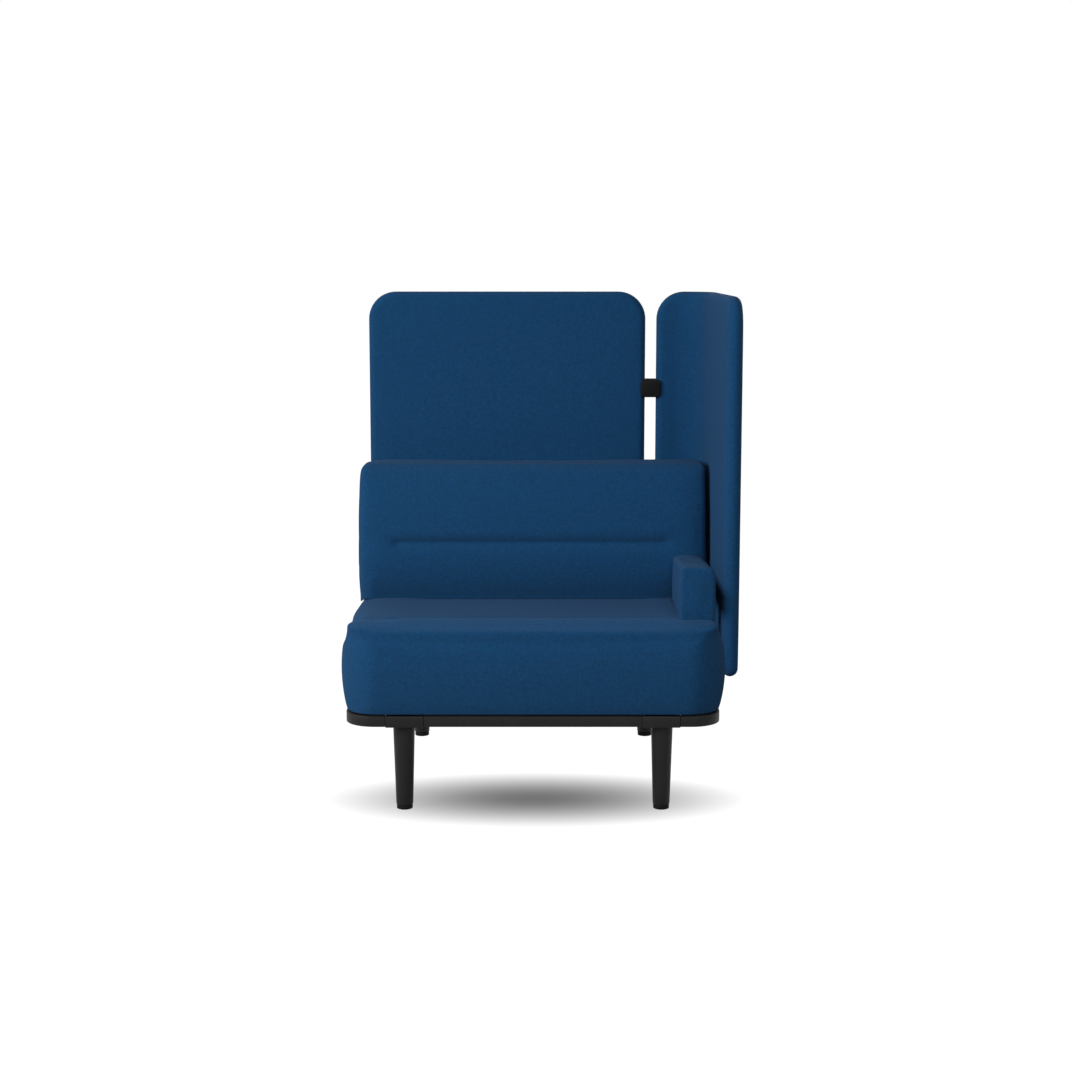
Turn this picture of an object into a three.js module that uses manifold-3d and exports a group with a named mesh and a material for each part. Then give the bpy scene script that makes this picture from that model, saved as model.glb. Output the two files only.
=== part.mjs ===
// One seat of a modular lounge, with an upholstered acoustic screen behind it and round its right side.
// Millimetres, +Z up, the seat faces -Y. The base is modelled round its own middle, and the group at the
// end moves everything so that the origin lies on the floor under the middle of the overall box.
import * as THREE from 'three';
import Module from 'manifold-3d';
import { mergeVertices } from 'three/addons/utils/BufferGeometryUtils.js';

const wasm = await Module();
wasm.setup();

// Shared clearances and tolerances
const fit = 0.3; // between pieces that touch
const seam = 0.5; // between rim pieces that butt end to end
const boltSlack = 0.4; // bolt hole over bolt diameter
const overrun = 1; // how far a cut runs past the face that it leaves by
const weld = 0.001; // vertices closer than this are one

// Base rim: a rectangular steel tube round the plan, broken by four leg brackets
const legSpacingX = 620;
const legSpacingY = 709;
const rimOverhangX = 140.5; // rim face outside the leg centre line, at the sides
const rimOverhangY = 45; // the same at the front and back
const rimBottom = 211;
const rimHeight = 26;
const rimDepth = 25;
const rimWall = 2.5;
const rimCornerRadius = 73;
const rimEdgeRadius = 3;

// Leg brackets: cast blocks between the rim pieces, each open above to take the leg bolt
const bracketWidth = 92;
const bracketShift = 4; // bracket centre inside the leg centre line
const bracketLength = 70;
const bracketDrop = 2; // bracket bottom below the rim
const bracketFloor = 8;
const bracketWall = 8;

// Cross rails, front to back between the leg brackets
const crossRailWidth = 30;

// Legs, with levelling glides
const legTopDiameter = 52;
const legFootDiameter = 41;
const legShoulder = 9; // straight length at the top of the leg
const legFootChamfer = 2;
const boltDiameter = 10;
const boltHeadWidth = 17;
const boltHeadHeight = 6.5;
const boltReach = 34; // thread in the leg
const boltHoleSpare = 3;
const padDiameter = 38.5;
const padHeight = 11;
const padChamfer = 1.5;
const padSocket = 7; // depth of the stud's socket in the pad
const studDiameter = 10;
const studReach = 36; // stud above the pad
const studHoleSpare = 4;

// Seat cushion, over the whole base
const shadowGap = 4; // rim top to cushion bottom
const fabric = 2; // cover with its backing
const board = 12; // plywood under the foam
const boardMargin = 8; // board edge inside the rim outline
const coverTurnUnder = 45; // how far the cover is folded in under the board
const dustCloth = 1.2;
const seatHeight = 214; // seat top at its sewn crease, above the seat's bottom
const seatSlopeShare = 0.053; // fall of the seat top towards the back
const seatBulge = 11;
const seatTopRadius = 27;
const creaseSetback = 97; // crease behind the rim's front face
const creaseDepth = 5;
const creaseHalfWidth = 14; // half the width of the drawn-in channel
const seatPlateauInset = 250; // last ring of the top

// Rubber spacers between frame and seat board
const spacerDiameter = 30;
const spacerPlace = 275; // from the middle, front and back

// Back cushion, a wedge on the rear of the seat
const backSetback = 488; // foremost point of the back behind the rim's front face
const backOverhang = 3.5; // left end outside the rim
const backRightInset = 0.5; // right end inside the rim
const backRise = 331; // back's top above the seat's crease
const backLean = 65; // front-top edge behind the foremost point
const backRearInset = 0.5; // rear face inside the rim's rear face
const backTopSlopeShare = 0.08; // fall of the top towards the rear
const backFrontRadius = 24;
const backRearRadius = 30;
const backLeftRadius = 21;
const backRightRadius = 12;
const backCornerRadius = 127; // rear right corner in plan, inside the corner screen's bend
const valleyDepth = 6;
const valleyEndInset = 82; // ends of the drawn-in valley inside the back's left end
const valleyFade = 32;

// Armrest, on the right side of the seat in front of the back cushion
const armWidth = 88;
const armScreenGap = 25.5; // arm to the screen beside it
const armSetback = 85; // front of the arm behind the rim's front face
const armRise = 131; // front of the arm's top above the seat's crease
const armSlopeShare = 0.0858;
const armTopRadius = 24;
const armFootRadius = 16;
const armEndRadius = 14;
const armBulge = 5;
const armBoard = 12;

// Steel brackets that carry the back and the arm through the seat
const plateThickness = 3.4;
const postThickness = 20;
const postWidth = 40;
const plateWidth = 60;
const backPostX = 250;
const backPostDrop = 146; // top of the back's uprights below the back's top
const backBoard = 15;
const backBoardMargin = 45; // board edge inside the back cushion, at its ends
const backBoardDrop = 86; // board's top below the back's top
const backBoardLift = 25; // board above the seat top
const backFoamBehind = 8; // padding between board and rear cover
const backPlateReach = 70;
const armPostPlaces = [-195, 15];
const armPostDrop = 66; // top of the arm's uprights below the arm's top
const armPostInset = 33; // uprights inside the arm's inner side
const armBoardMargin = 30;
const armBoardLift = 20;
const armBoardDrop = 51; // panel's top below the arm's top

// Acoustic screens behind the base and round its right side
const screenGap = 5; // between the cushion's bulge and the screens
const screenThickness = 38;
const screenLift = 84; // screens' lower edge above the rim's
const screenHeight = 930;
const screenCornerRadius = 70; // upper corners
const screenFootRadius = 20; // lower corners
const screenEdgeRadius = 15;
const screenBendRadius = 84; // inner radius of the corner screen
const backScreenWidth = 758;
const screenSpacing = 30; // between the two screens
const sideScreenSetback = 155; // front end of the side screen behind the rim's front face
const coreThickness = 18;
const coreInset = 12; // core edge inside the sleeve
const coreEdgeRadius = 2;
const coreCornerRadius = 40;
const coreFootRadius = 10;

// Screen brackets: angle plates bolted under the rim, with a blade up into the core
const bladeWidth = 40;
const bladeThickness = 4;
const bladeReach = 130; // blade inside the screen
const bladeSlack = 0.6;
const footThickness = 4;
const footReach = 6; // foot past the head of its bolt
const footBoltDiameter = 8;
const footBoltHeadDiameter = 14;
const footBoltHeadHeight = 4.5;
const backBladePlaces = [-222, 78];
const sideBladePlaces = [0, 240];

// Clip that ties the two screens together across their gap
const clipWidth = 55;
const clipHeight = 49;
const clipThickness = 6;
const clipRadius = 12;
const clipDrop = 263.5; // clip's middle below the screens' top
const clipNeckHeight = 24; // web that fills the gap
const clipScrewDiameter = 6;
const clipScrewHeadDiameter = 11;
const clipScrewHeadHeight = 3;

// Facet counts
const roundSides = 20;
const boltSides = 10;
const arcSteps = 4;
const rimBendSteps = 6;

// Places that follow from the sizes above
const rimHalfX = legSpacingX / 2 + rimOverhangX;
const rimHalfY = legSpacingY / 2 + rimOverhangY;
const rimTop = rimBottom + rimHeight;
const bracketBottom = rimBottom - bracketDrop;
const bracketX = legSpacingX / 2 - bracketShift;
const legTop = bracketBottom - fit;
const legBottom = padHeight + fit;
const seatBottom = rimTop + shadowGap;
const creaseHeight = seatBottom + seatHeight;
const creaseY = creaseSetback - rimHalfY;
const backLeft = rimHalfX + backOverhang;
const backRight = rimHalfX - backRightInset;
const backTop = creaseHeight + backRise;
const backBoardTop = backTop - backBoardDrop;
const valleyHalfLength = backLeft - valleyEndInset;
const backFrontY = backSetback - rimHalfY;
const backRearY = rimHalfY - backRearInset;
const armFrontY = armSetback - rimHalfY;
const armTopFront = creaseHeight + armRise;
const armBoardTop = armTopFront - armBoardDrop;
const armRearY = backFrontY - fit;
const screenBottom = rimBottom + screenLift;
const screenTop = screenBottom + screenHeight;
const bladeTop = screenBottom + bladeReach;
const clipCentreZ = screenTop - clipDrop;
const screenInnerX = rimHalfX + seatBulge + screenGap;
const screenInnerY = rimHalfY + seatBulge + screenGap;
const screenMidX = screenInnerX + screenThickness / 2;
const screenMidY = screenInnerY + screenThickness / 2;
const backScreenRight = backScreenWidth - rimHalfX;
const cornerScreenLeft = backScreenRight + screenSpacing;
const sideScreenFront = sideScreenSetback - rimHalfY;
const armOuter = screenInnerX - armScreenGap;
const armInner = armOuter - armWidth;
const armPostX = armInner + armPostInset;

// Height of the seat's top at a place from front to back, without its crease
function seatTopAt(y) {
  return creaseHeight - seatSlopeShare * (y - creaseY);
}

// Height of the armrest's top
function armTopAt(y) {
  return armTopFront - armSlopeShare * (y - armFrontY);
}

// A geometry with only its places, and each shared vertex once
function welded(geometry) {
  geometry.deleteAttribute('normal');
  geometry.deleteAttribute('uv');
  return mergeVertices(geometry, weld);
}

// A closed geometry as a solid that can be cut and joined
function solidOf(geometry) {
  const merged = welded(geometry.clone());
  const corners = [];
  for (let i = 0; i < merged.index.count; i += 3) {
    const triple = [merged.index.getX(i), merged.index.getX(i + 1), merged.index.getX(i + 2)];
    if (new Set(triple).size === 3) corners.push(...triple);
  }
  return new wasm.Manifold(new wasm.Mesh({
    numProp: 3,
    vertProperties: new Float32Array(merged.attributes.position.array),
    triVerts: new Uint32Array(corners),
  }));
}

// A solid back as a geometry
function geometryOf(solid) {
  const mesh = solid.getMesh();
  const geometry = new THREE.BufferGeometry();
  geometry.setAttribute('position', new THREE.BufferAttribute(mesh.vertProperties, mesh.numProp));
  geometry.setIndex(new THREE.BufferAttribute(mesh.triVerts, 1));
  geometry.computeVertexNormals();
  return geometry;
}

// The first geometry less all the others
function cut(geometry, ...tools) {
  let solid = solidOf(geometry);
  for (const tool of tools) solid = solid.subtract(solidOf(tool));
  return geometryOf(solid);
}

// All the geometries as one
function join(geometry, ...others) {
  let solid = solidOf(geometry);
  for (const other of others) solid = solid.add(solidOf(other));
  return geometryOf(solid);
}

// A closed skin through rings of points, each ring as long as the next, with both ends capped
function skin(rings) {
  const count = rings[0].length;
  const points = rings.flat();
  const indices = [];
  for (let r = 0; r + 1 < rings.length; r += 1) {
    for (let i = 0; i < count; i += 1) {
      const j = (i + 1) % count;
      const [a, b, c, d] = [r * count + i, r * count + j, (r + 1) * count + j, (r + 1) * count + i];
      indices.push(a, b, c, a, c, d);
    }
  }
  for (const [ring, start, turn] of [[rings[0], 0, 1], [rings.at(-1), points.length - count, -1]]) {
    const centre = ring.reduce((sum, p) => sum.add(p), new THREE.Vector3()).divideScalar(count);
    const hub = points.push(centre) - 1;
    for (let i = 0; i < count; i += 1) {
      const j = (i + 1) % count;
      indices.push(hub, ...(turn > 0 ? [start + j, start + i] : [start + i, start + j]));
    }
  }
  return facingOut(new THREE.BufferGeometry().setFromPoints(points).setIndex(indices));
}

// Turns a closed geometry's triangles round if they face inwards
function facingOut(geometry) {
  const at = geometry.attributes.position;
  const index = geometry.index.array;
  const [a, b, c] = [new THREE.Vector3(), new THREE.Vector3(), new THREE.Vector3()];
  let volume = 0;
  for (let i = 0; i < index.length; i += 3) {
    a.fromBufferAttribute(at, index[i]);
    b.fromBufferAttribute(at, index[i + 1]);
    c.fromBufferAttribute(at, index[i + 2]);
    volume += a.dot(b.cross(c));
  }
  if (volume < 0) {
    for (let i = 0; i < index.length; i += 3) [index[i], index[i + 1]] = [index[i + 1], index[i]];
  }
  geometry.computeVertexNormals();
  return geometry;
}

// A box between two corners
function box([x0, x1], [y0, y1], [z0, z1]) {
  const geometry = new THREE.BoxGeometry(x1 - x0, y1 - y0, z1 - z0);
  return geometry.translate((x0 + x1) / 2, (y0 + y1) / 2, (z0 + z1) / 2);
}

// A range of a width about a middle
function about(middle, width) {
  return [middle - width / 2, middle + width / 2];
}

// A turned piece on a vertical axis, from [radius, height] points that start and end on the axis
function turned(profile, sides, x, y) {
  const outline = profile.map(([r, z]) => new THREE.Vector2(r, z));
  const geometry = new THREE.LatheGeometry(outline, sides).rotateX(Math.PI / 2);
  return facingOut(welded(geometry)).translate(x, y, 0);
}

// A plain upright cylinder
function post(diameter, [z0, z1], sides, x, y) {
  return turned([[0, z0], [diameter / 2, z0], [diameter / 2, z1], [0, z1]], sides, x, y);
}

// Points of an outline moved inwards by a distance, with square mitres; the outline runs anticlockwise
function insetOutline(outline, distance) {
  const count = outline.length;
  return outline.map(([u, v], i) => {
    const [pu, pv] = outline[(i + count - 1) % count];
    const [nu, nv] = outline[(i + 1) % count];
    const before = [pv - v, u - pu];
    const after = [v - nv, nu - u];
    const [lb, la] = [Math.hypot(...before), Math.hypot(...after)];
    const n1 = [before[0] / lb, before[1] / lb];
    const n2 = [after[0] / la, after[1] / la];
    const spread = 1 + n1[0] * n2[0] + n1[1] * n2[1];
    return [u + distance * (n1[0] + n2[0]) / spread, v + distance * (n1[1] + n2[1]) / spread];
  });
}

// Quarter round from one direction to the next, as points about a centre; angles in quarter turns
function quarter([cu, cv], radius, startTurn, steps = arcSteps) {
  return Array.from({ length: steps + 1 }, (_, i) => {
    const angle = (startTurn + i / steps) * Math.PI / 2;
    return [cu + radius * Math.cos(angle), cv + radius * Math.sin(angle)];
  });
}

// How far along, and how far in, an end is at each step of its quarter round
function endRound(radius, steps = arcSteps) {
  return Array.from({ length: steps + 1 }, (_, i) => {
    const angle = (i / steps) * Math.PI / 2;
    return { along: radius * (1 - Math.cos(angle)), inset: radius * (1 - Math.sin(angle)) };
  });
}

// A smooth step from 1 to 0 over a fade that ends at a limit
function fadeOut(distance, limit, fade) {
  const share = THREE.MathUtils.clamp((limit - distance) / fade, 0, 1);
  return share * share * (3 - 2 * share);
}

// Rim

// A rectangular section swept along a plan path of [x, y] points, with mitred corners
function rimSweep(path, [sideIn, sideOut], [z0, z1], edge) {
  const section = [
    ...quarter([sideOut - edge, z0 + edge], edge, -1, 1),
    ...quarter([sideOut - edge, z1 - edge], edge, 0, 1),
    [sideIn, z1],
    [sideIn, z0],
  ];
  const ringAt = ([x, y, nx, ny]) => section.map(([out, z]) => {
    return new THREE.Vector3(x + nx * out, y + ny * out, z);
  });
  return skin(path.map(ringAt));
}

// A hollow rim piece along a path whose points carry the outward direction
function rimTube(path) {
  const [first, last] = [path[0], path.at(-1)];
  const longer = [pushed(first, path[1]), ...path.slice(1, -1), pushed(last, path.at(-2))];
  const outer = rimSweep(path, [-rimDepth, 0], [rimBottom, rimTop], rimEdgeRadius);
  const bore = rimSweep(
    longer,
    [rimWall - rimDepth, -rimWall],
    [rimBottom + rimWall, rimTop - rimWall],
    rimEdgeRadius / 2,
  );
  return cut(outer, bore);
}

// A path's end point moved on by the overrun, away from its neighbour
function pushed([x, y, nx, ny], [fromX, fromY]) {
  const length = Math.hypot(x - fromX, y - fromY);
  return [x + overrun * (x - fromX) / length, y + overrun * (y - fromY) / length, nx, ny];
}

// Straight rim piece between two brackets, front (side -1) or rear (side 1)
function endRail(side) {
  const half = bracketX - bracketWidth / 2 - seam;
  const y = side * rimHalfY;
  return rimTube([[-half, y, 0, side], [half, y, 0, side]]);
}

// Bent rim piece down one side of the base (side -1 left, 1 right), from front bracket to rear bracket
function sideRail(side) {
  const end = bracketX + bracketWidth / 2 + seam;
  const bendX = rimHalfX - rimCornerRadius;
  const bendY = rimHalfY - rimCornerRadius;
  const bend = (endSide) => Array.from({ length: rimBendSteps + 1 }, (_, i) => {
    const angle = (i / rimBendSteps) * Math.PI / 2;
    const [nx, ny] = [side * Math.sin(angle), endSide * Math.cos(angle)];
    return [side * bendX + rimCornerRadius * nx, endSide * bendY + rimCornerRadius * ny, nx, ny];
  });
  return rimTube([
    [side * end, -rimHalfY, 0, -1],
    ...bend(-1),
    ...bend(1).reverse(),
    [side * end, rimHalfY, 0, 1],
  ]);
}

// Cast leg bracket at one corner; its outer face lies flush in the rim
function legBracket(sx, sy) {
  const face = sy * rimHalfY;
  const inner = sy * (rimHalfY - bracketLength);
  const [front, back] = [Math.min(face, inner), Math.max(face, inner)];
  const block = box(about(sx * bracketX, bracketWidth), [front, back], [bracketBottom, rimTop]);
  const rimSide = sy < 0 ? [front + rimDepth, back - bracketWall] : [front + bracketWall, back - rimDepth];
  const pocket = box(
    about(sx * bracketX, bracketWidth - 2 * bracketWall),
    rimSide,
    [bracketBottom + bracketFloor, rimTop + overrun],
  );
  const hole = post(
    boltDiameter + boltSlack,
    [bracketBottom - overrun, rimTop],
    boltSides,
    sx * legSpacingX / 2,
    sy * legSpacingY / 2,
  );
  return cut(block, pocket, hole);
}

// Box-section cross rail between the front and rear bracket of one side
function crossRail(side) {
  const end = rimHalfY - bracketLength - fit;
  const x = side * legSpacingX / 2;
  const outer = box(about(x, crossRailWidth), [-end, end], [rimBottom, rimTop]);
  const bore = box(
    about(x, crossRailWidth - 2 * rimWall),
    [-end - overrun, end + overrun],
    [rimBottom + rimWall, rimTop - rimWall],
  );
  return cut(outer, bore);
}

// Legs

function leg(x, y) {
  const top = legTopDiameter / 2;
  const foot = legFootDiameter / 2;
  const body = turned([
    [0, legBottom],
    [foot - legFootChamfer, legBottom],
    [foot, legBottom + legFootChamfer],
    [top, legTop - legShoulder],
    [top, legTop],
    [0, legTop],
  ], roundSides, x, y);
  const boltHole = post(
    boltDiameter + boltSlack,
    [legTop - boltReach - boltHoleSpare, legTop + overrun],
    boltSides, x, y,
  );
  const studHole = post(
    studDiameter + boltSlack,
    [legBottom - overrun, padHeight + studReach + studHoleSpare],
    boltSides, x, y,
  );
  return cut(body, boltHole, studHole);
}

function legBolt(x, y) {
  const seatZ = bracketBottom + bracketFloor + fit;
  const shank = boltDiameter / 2;
  const head = boltHeadWidth / 2;
  return turned([
    [0, legTop - boltReach],
    [shank, legTop - boltReach],
    [shank, seatZ],
    [head, seatZ],
    [head, seatZ + boltHeadHeight],
    [0, seatZ + boltHeadHeight],
  ], boltSides, x, y);
}

function glidePad(x, y) {
  const radius = padDiameter / 2;
  const body = turned([
    [0, 0],
    [radius - padChamfer, 0],
    [radius, padChamfer],
    [radius, padHeight],
    [0, padHeight],
  ], roundSides, x, y);
  const socketSpan = [padHeight - padSocket, padHeight + overrun];
  const socket = post(studDiameter + boltSlack, socketSpan, boltSides, x, y);
  return cut(body, socket);
}

function glideStud(x, y) {
  return post(studDiameter, [padHeight - padSocket + fit, padHeight + studReach], boltSides, x, y);
}

// Seat

// Plan outline of the base at an inset, anticlockwise; the stations along front and rear are shares of
// the straight length there
const stationShares = [-1, -0.9, -0.45, 0, 0.45, 0.9, 1];
const leastRadiusShare = 0.12;

function baseOutline(inset) {
  const radius = Math.max(rimCornerRadius - inset, rimCornerRadius * leastRadiusShare);
  const [straightX, straightY] = [rimHalfX - inset - radius, rimHalfY - inset - radius];
  const corner = (sx, sy, startTurn) => quarter([sx * straightX, sy * straightY], radius, startTurn);
  const along = stationShares.slice(1, -1).map((share) => share * straightX);
  return [
    ...along.map((x) => [x, inset - rimHalfY]),
    ...corner(1, -1, -1),
    ...corner(1, 1, 0),
    ...along.toReversed().map((x) => [x, rimHalfY - inset]),
    ...corner(-1, 1, 1),
    ...corner(-1, -1, 2),
  ];
}

// Shares of the side's height at which the bulging side has a ring, and of a half turn that it swells by
const sideRingShares = [0, 0.14, 0.3, 0.5, 0.7, 0.87];
const bulgeTurnShare = 0.95;
const bottomRoundShare = 0.2; // bottom edge, as a share of the top edge's radius

// The seat cushion's form, shrunk by an inset
function seatForm(inset) {
  const radius = seatTopRadius - inset;
  const sideFoot = bottomRoundShare * seatTopRadius;
  const topAt = (y) => seatTopAt(y) - inset;
  const ring = (outset, heightAt) => baseOutline(inset - outset)
    .map(([x, y]) => new THREE.Vector3(x, y, heightAt(x, y)));
  const sideOutset = (share) => seatBulge * Math.sin(bulgeTurnShare * Math.PI * share);
  const sideHeight = (share) => (x, y) => {
    const floor = seatBottom + sideFoot;
    return floor + share * (seatTopAt(y) - seatTopRadius - floor);
  };
  const sides = sideRingShares.map((share) => ring(sideOutset(share), sideHeight(share)));
  const edge = endRound(radius).map(({ along, inset: below }) => {
    return ring(sideOutset(1) - along, (x, y) => topAt(y) - below);
  });
  const crease = (drawn) => (x, y) => {
    const onLine = y < 0 ? fadeOut(Math.abs(x), straightAt(creaseSetback), creaseHalfWidth * 2) : 0;
    return topAt(y) - creaseDepth * onLine * drawn;
  };
  const top = [
    ring(inset - creaseSetback + creaseHalfWidth, crease(0)),
    ring(inset - creaseSetback, crease(1)),
    ring(inset - creaseSetback - creaseHalfWidth, crease(0)),
    ring(inset - seatPlateauInset, crease(0)),
  ];
  return skin([ring(-sideFoot, () => seatBottom + inset), ...sides, ...edge, ...top]);
}

// Half the straight length of the outline's front side at an inset
function straightAt(inset) {
  return rimHalfX - inset - Math.max(rimCornerRadius - inset, rimCornerRadius * leastRadiusShare);
}

// Slots through the seat for the uprights that carry the back and the arm
function uprightSlots() {
  return uprights.map(({ x, y, across, through }) => box(
    about(x, across + 2 * fit),
    about(y, through + 2 * fit),
    [seatBottom - overrun, seatTopAt(-rimHalfY) + overrun],
  ));
}

// The opening under the seat inside the folded-in cover, with its own clearance
function seatWindow(clearance, [z0, z1]) {
  const [halfX, halfY] = [rimHalfX - coverTurnUnder - clearance, rimHalfY - coverTurnUnder - clearance];
  return box([-halfX, halfX], [-halfY, halfY], [z0, z1]);
}

function seatCover() {
  const window = seatWindow(0, [seatBottom - overrun, seatBottom + fabric + overrun]);
  return cut(seatForm(0), seatForm(fabric), window, ...uprightSlots());
}

function seatFoam() {
  const reach = rimHalfX + rimHalfY;
  const foamBottom = seatBottom + fabric + board + 2 * fit;
  const belowFoam = box([-reach, reach], [-reach, reach], [seatBottom, foamBottom]);
  return cut(seatForm(fabric + fit), belowFoam, ...uprightSlots());
}

function seatBoard() {
  const outline = baseOutline(boardMargin);
  const bottom = seatBottom + fabric + fit;
  const rings = [bottom, bottom + board].map((z) => outline.map(([x, y]) => new THREE.Vector3(x, y, z)));
  return cut(skin(rings), ...uprightSlots());
}

function seatDustCloth() {
  const bottom = seatBottom + fabric - dustCloth;
  return cut(seatWindow(fit, [bottom, bottom + dustCloth]), ...uprightSlots());
}

function seatSpacer(sx, sy) {
  const span = [rimTop + fit, seatBottom - fit];
  return post(spacerDiameter, span, roundSides, sx * legSpacingX / 2, sy * spacerPlace);
}

// Back cushion

// Front outline from the seat up: shares of the cushion's height, and of its lean
const backFrontShares = [
  [0, 0.15], [0.06, 0.09], [0.15, 0.01], [0.24, 0], [0.33, 0], [0.385, 0.02], [0.425, 0.06],
  [0.465, 0.13], [0.52, 0.26], [0.615, 0.43], [0.72, 0.6], [0.83, 0.8],
];
const valleyShares = [0, 0, 0, 0, 0.25, 0.8, 1, 0.8, 0.25, 0, 0, 0];

// How far the rear comes forward at a place across the width, round the corner in plan
function backRetreat(x) {
  const along = THREE.MathUtils.clamp(backRight - x, 0, backCornerRadius);
  return backCornerRadius - Math.sqrt(backCornerRadius ** 2 - (backCornerRadius - along) ** 2);
}

// Section of the back cushion at a place across its width, as [y, z] points, anticlockwise from the right
function backSection(x) {
  const valley = fadeOut(Math.abs(x), valleyHalfLength + valleyFade / 2, valleyFade);
  const rear = backRearY - backRetreat(x);
  const foot = seatTopAt(backFrontY) + 2 * fit;
  const front = backFrontShares.map(([up, lean], i) => [
    backFrontY + lean * backLean + valleyShares[i] * valleyDepth * valley,
    foot + up * (backTop - foot),
  ]);
  const topFront = [backFrontY + backLean + backFrontRadius, backTop - backFrontRadius];
  const fall = backTopSlopeShare * (rear - backRearRadius - topFront[0]);
  const topRear = [rear - backRearRadius, backTop - fall - backRearRadius];
  return [
    [rear, seatTopAt(rear) + 2 * fit],
    ...quarter(topRear, backRearRadius, 0),
    ...quarter(topFront, backFrontRadius, 1),
    ...front.toReversed(),
  ];
}

// Shares of a quarter turn at which the rear corner in plan has a section
const backTurnShares = [0.42, 0.55, 0.7, 0.85, 1];

function cornerStation(share) {
  return backRight - backCornerRadius * (1 - Math.cos(share * Math.PI / 2));
}

// The back cushion's form, shrunk by an inset
function backForm(inset) {
  const left = endRound(backLeftRadius - inset)
    .map(({ along, inset: below }) => ({ x: inset + along - backLeft, below }));
  const right = endRound(backRightRadius - inset)
    .map(({ along, inset: below }) => ({ x: backRight - inset - along, below }));
  const middle = [
    ...[-1, 1].map((turn) => turn * valleyFade / 2 - valleyHalfLength),
    0,
    ...backTurnShares.map(cornerStation).reverse(),
  ].map((x) => ({ x, below: 0 }));
  const rings = [...left, ...middle, ...right.toReversed()].map(({ x, below }) => {
    return insetOutline(backSection(x), inset + below).map(([y, z]) => new THREE.Vector3(x, y, z));
  });
  return skin(rings);
}

// The plywood board near the rear of the back cushion, from its left end to where the rear turns
function backBoardBox(clearance) {
  const rear = backRearY - fabric - backFoamBehind;
  return box(
    [backBoardMargin - backLeft - clearance, backRight - backCornerRadius + clearance],
    [rear - backBoard - clearance, rear + clearance],
    [seatTopAt(0) + backBoardLift - clearance, backBoardTop + clearance],
  );
}

function backCover() {
  const openings = uprightsOf('back').map((upright) => uprightBox(upright, fit));
  return cut(backForm(0), backForm(fabric), ...openings);
}

function backFoam() {
  const openings = uprightsOf('back').map((upright) => uprightBox(upright, fit));
  return cut(backForm(fabric + fit), backBoardBox(fit), ...openings);
}

// Armrest

// Shares of the straight side's height at which the swelling side has a point
const armSideShares = [0.25, 0.5, 0.75];

// Section of the armrest at a place from front to back, as [x, z] points, anticlockwise from the front
function armSection(y) {
  const [foot, top] = [seatTopAt(y) + 2 * fit, armTopAt(y)];
  const [low, high] = [foot + armFootRadius, top - armTopRadius];
  const [inner, outer] = [armInner + armBulge, armOuter - armBulge];
  const side = armSideShares.map((share) => {
    return [armBulge * Math.sin(Math.PI * share), low + share * (high - low)];
  });
  return [
    ...quarter([outer - armFootRadius, low], armFootRadius, -1),
    ...side.map(([out, z]) => [outer + out, z]),
    ...quarter([outer - armTopRadius, high], armTopRadius, 0),
    ...quarter([inner + armTopRadius, high], armTopRadius, 1),
    ...side.toReversed().map(([out, z]) => [inner - out, z]),
    ...quarter([inner + armFootRadius, low], armFootRadius, 2),
  ];
}

// The armrest's form, shrunk by an inset
function armForm(inset) {
  const front = endRound(armEndRadius - inset).map(({ along, inset: below }) => ({
    y: armFrontY + inset + along, below,
  }));
  const rear = { y: armRearY - inset, below: 0 };
  const rings = [...front, rear].map(({ y, below }) => insetOutline(armSection(y), inset + below)
    .map(([x, z]) => new THREE.Vector3(x, y, z)));
  return skin(rings);
}

// The plywood panel in the middle of the arm, on the outer side of its uprights
function armBoardBox(clearance) {
  const inner = armPostX + postThickness / 2 + fit - clearance;
  return box(
    [inner, inner + armBoard + 2 * clearance],
    [armFrontY + armBoardMargin - clearance, armRearY - armBoardMargin + clearance],
    [seatTopAt(armFrontY) + armBoardLift - clearance, armBoardTop + clearance],
  );
}

function armCover() {
  const openings = uprightsOf('arm').map((upright) => uprightBox(upright, fit));
  return cut(armForm(0), armForm(fabric), ...openings);
}

function armFoam() {
  const openings = uprightsOf('arm').map((upright) => uprightBox(upright, fit));
  return cut(armForm(fabric + fit), armBoardBox(fit), ...openings);
}

// Uprights that come up through the seat

const backPostY = backRearY - fabric - backFoamBehind - backBoard - fit - postThickness / 2;
const uprights = [
  ...[-1, 1].map((side) => ({
    carries: 'back',
    x: side * backPostX,
    y: backPostY,
    across: postWidth,
    through: postThickness,
    top: backTop - backPostDrop,
  })),
  ...armPostPlaces.map((y) => ({
    carries: 'arm',
    x: armPostX,
    y,
    across: postThickness,
    through: postWidth,
    top: armTopFront - armPostDrop,
  })),
];

function uprightsOf(what) {
  return uprights.filter(({ carries }) => carries === what);
}

// The space that an upright takes, from the top of its plate
function uprightBox({ x, y, across, through, top }, clearance) {
  return box(
    about(x, across + 2 * clearance),
    about(y, through + 2 * clearance),
    [rimTop + fit, top + clearance],
  );
}

// An upright welded to the plate that ties it to the rim
function uprightBracket(upright) {
  const plateZ = [rimTop + fit, rimTop + fit + plateThickness];
  const backSpan = [rimHalfY - backPlateReach, rimHalfY - rimEdgeRadius];
  const armSpan = [(legSpacingX - crossRailWidth) / 2, rimHalfX - rimEdgeRadius];
  const plate = upright.carries === 'back'
    ? box(about(upright.x, plateWidth), backSpan, plateZ)
    : box(armSpan, about(upright.y, plateWidth), plateZ);
  return join(plate, uprightBox(upright, 0));
}

// Screens

// Plan path of a screen's middle surface; at() gives the point and its inward direction at a distance
const backScreenPath = {
  length: backScreenWidth,
  bends: [],
  at: (s) => ({ x: s - rimHalfX, y: screenMidY, nx: 0, ny: -1 }),
};

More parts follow.
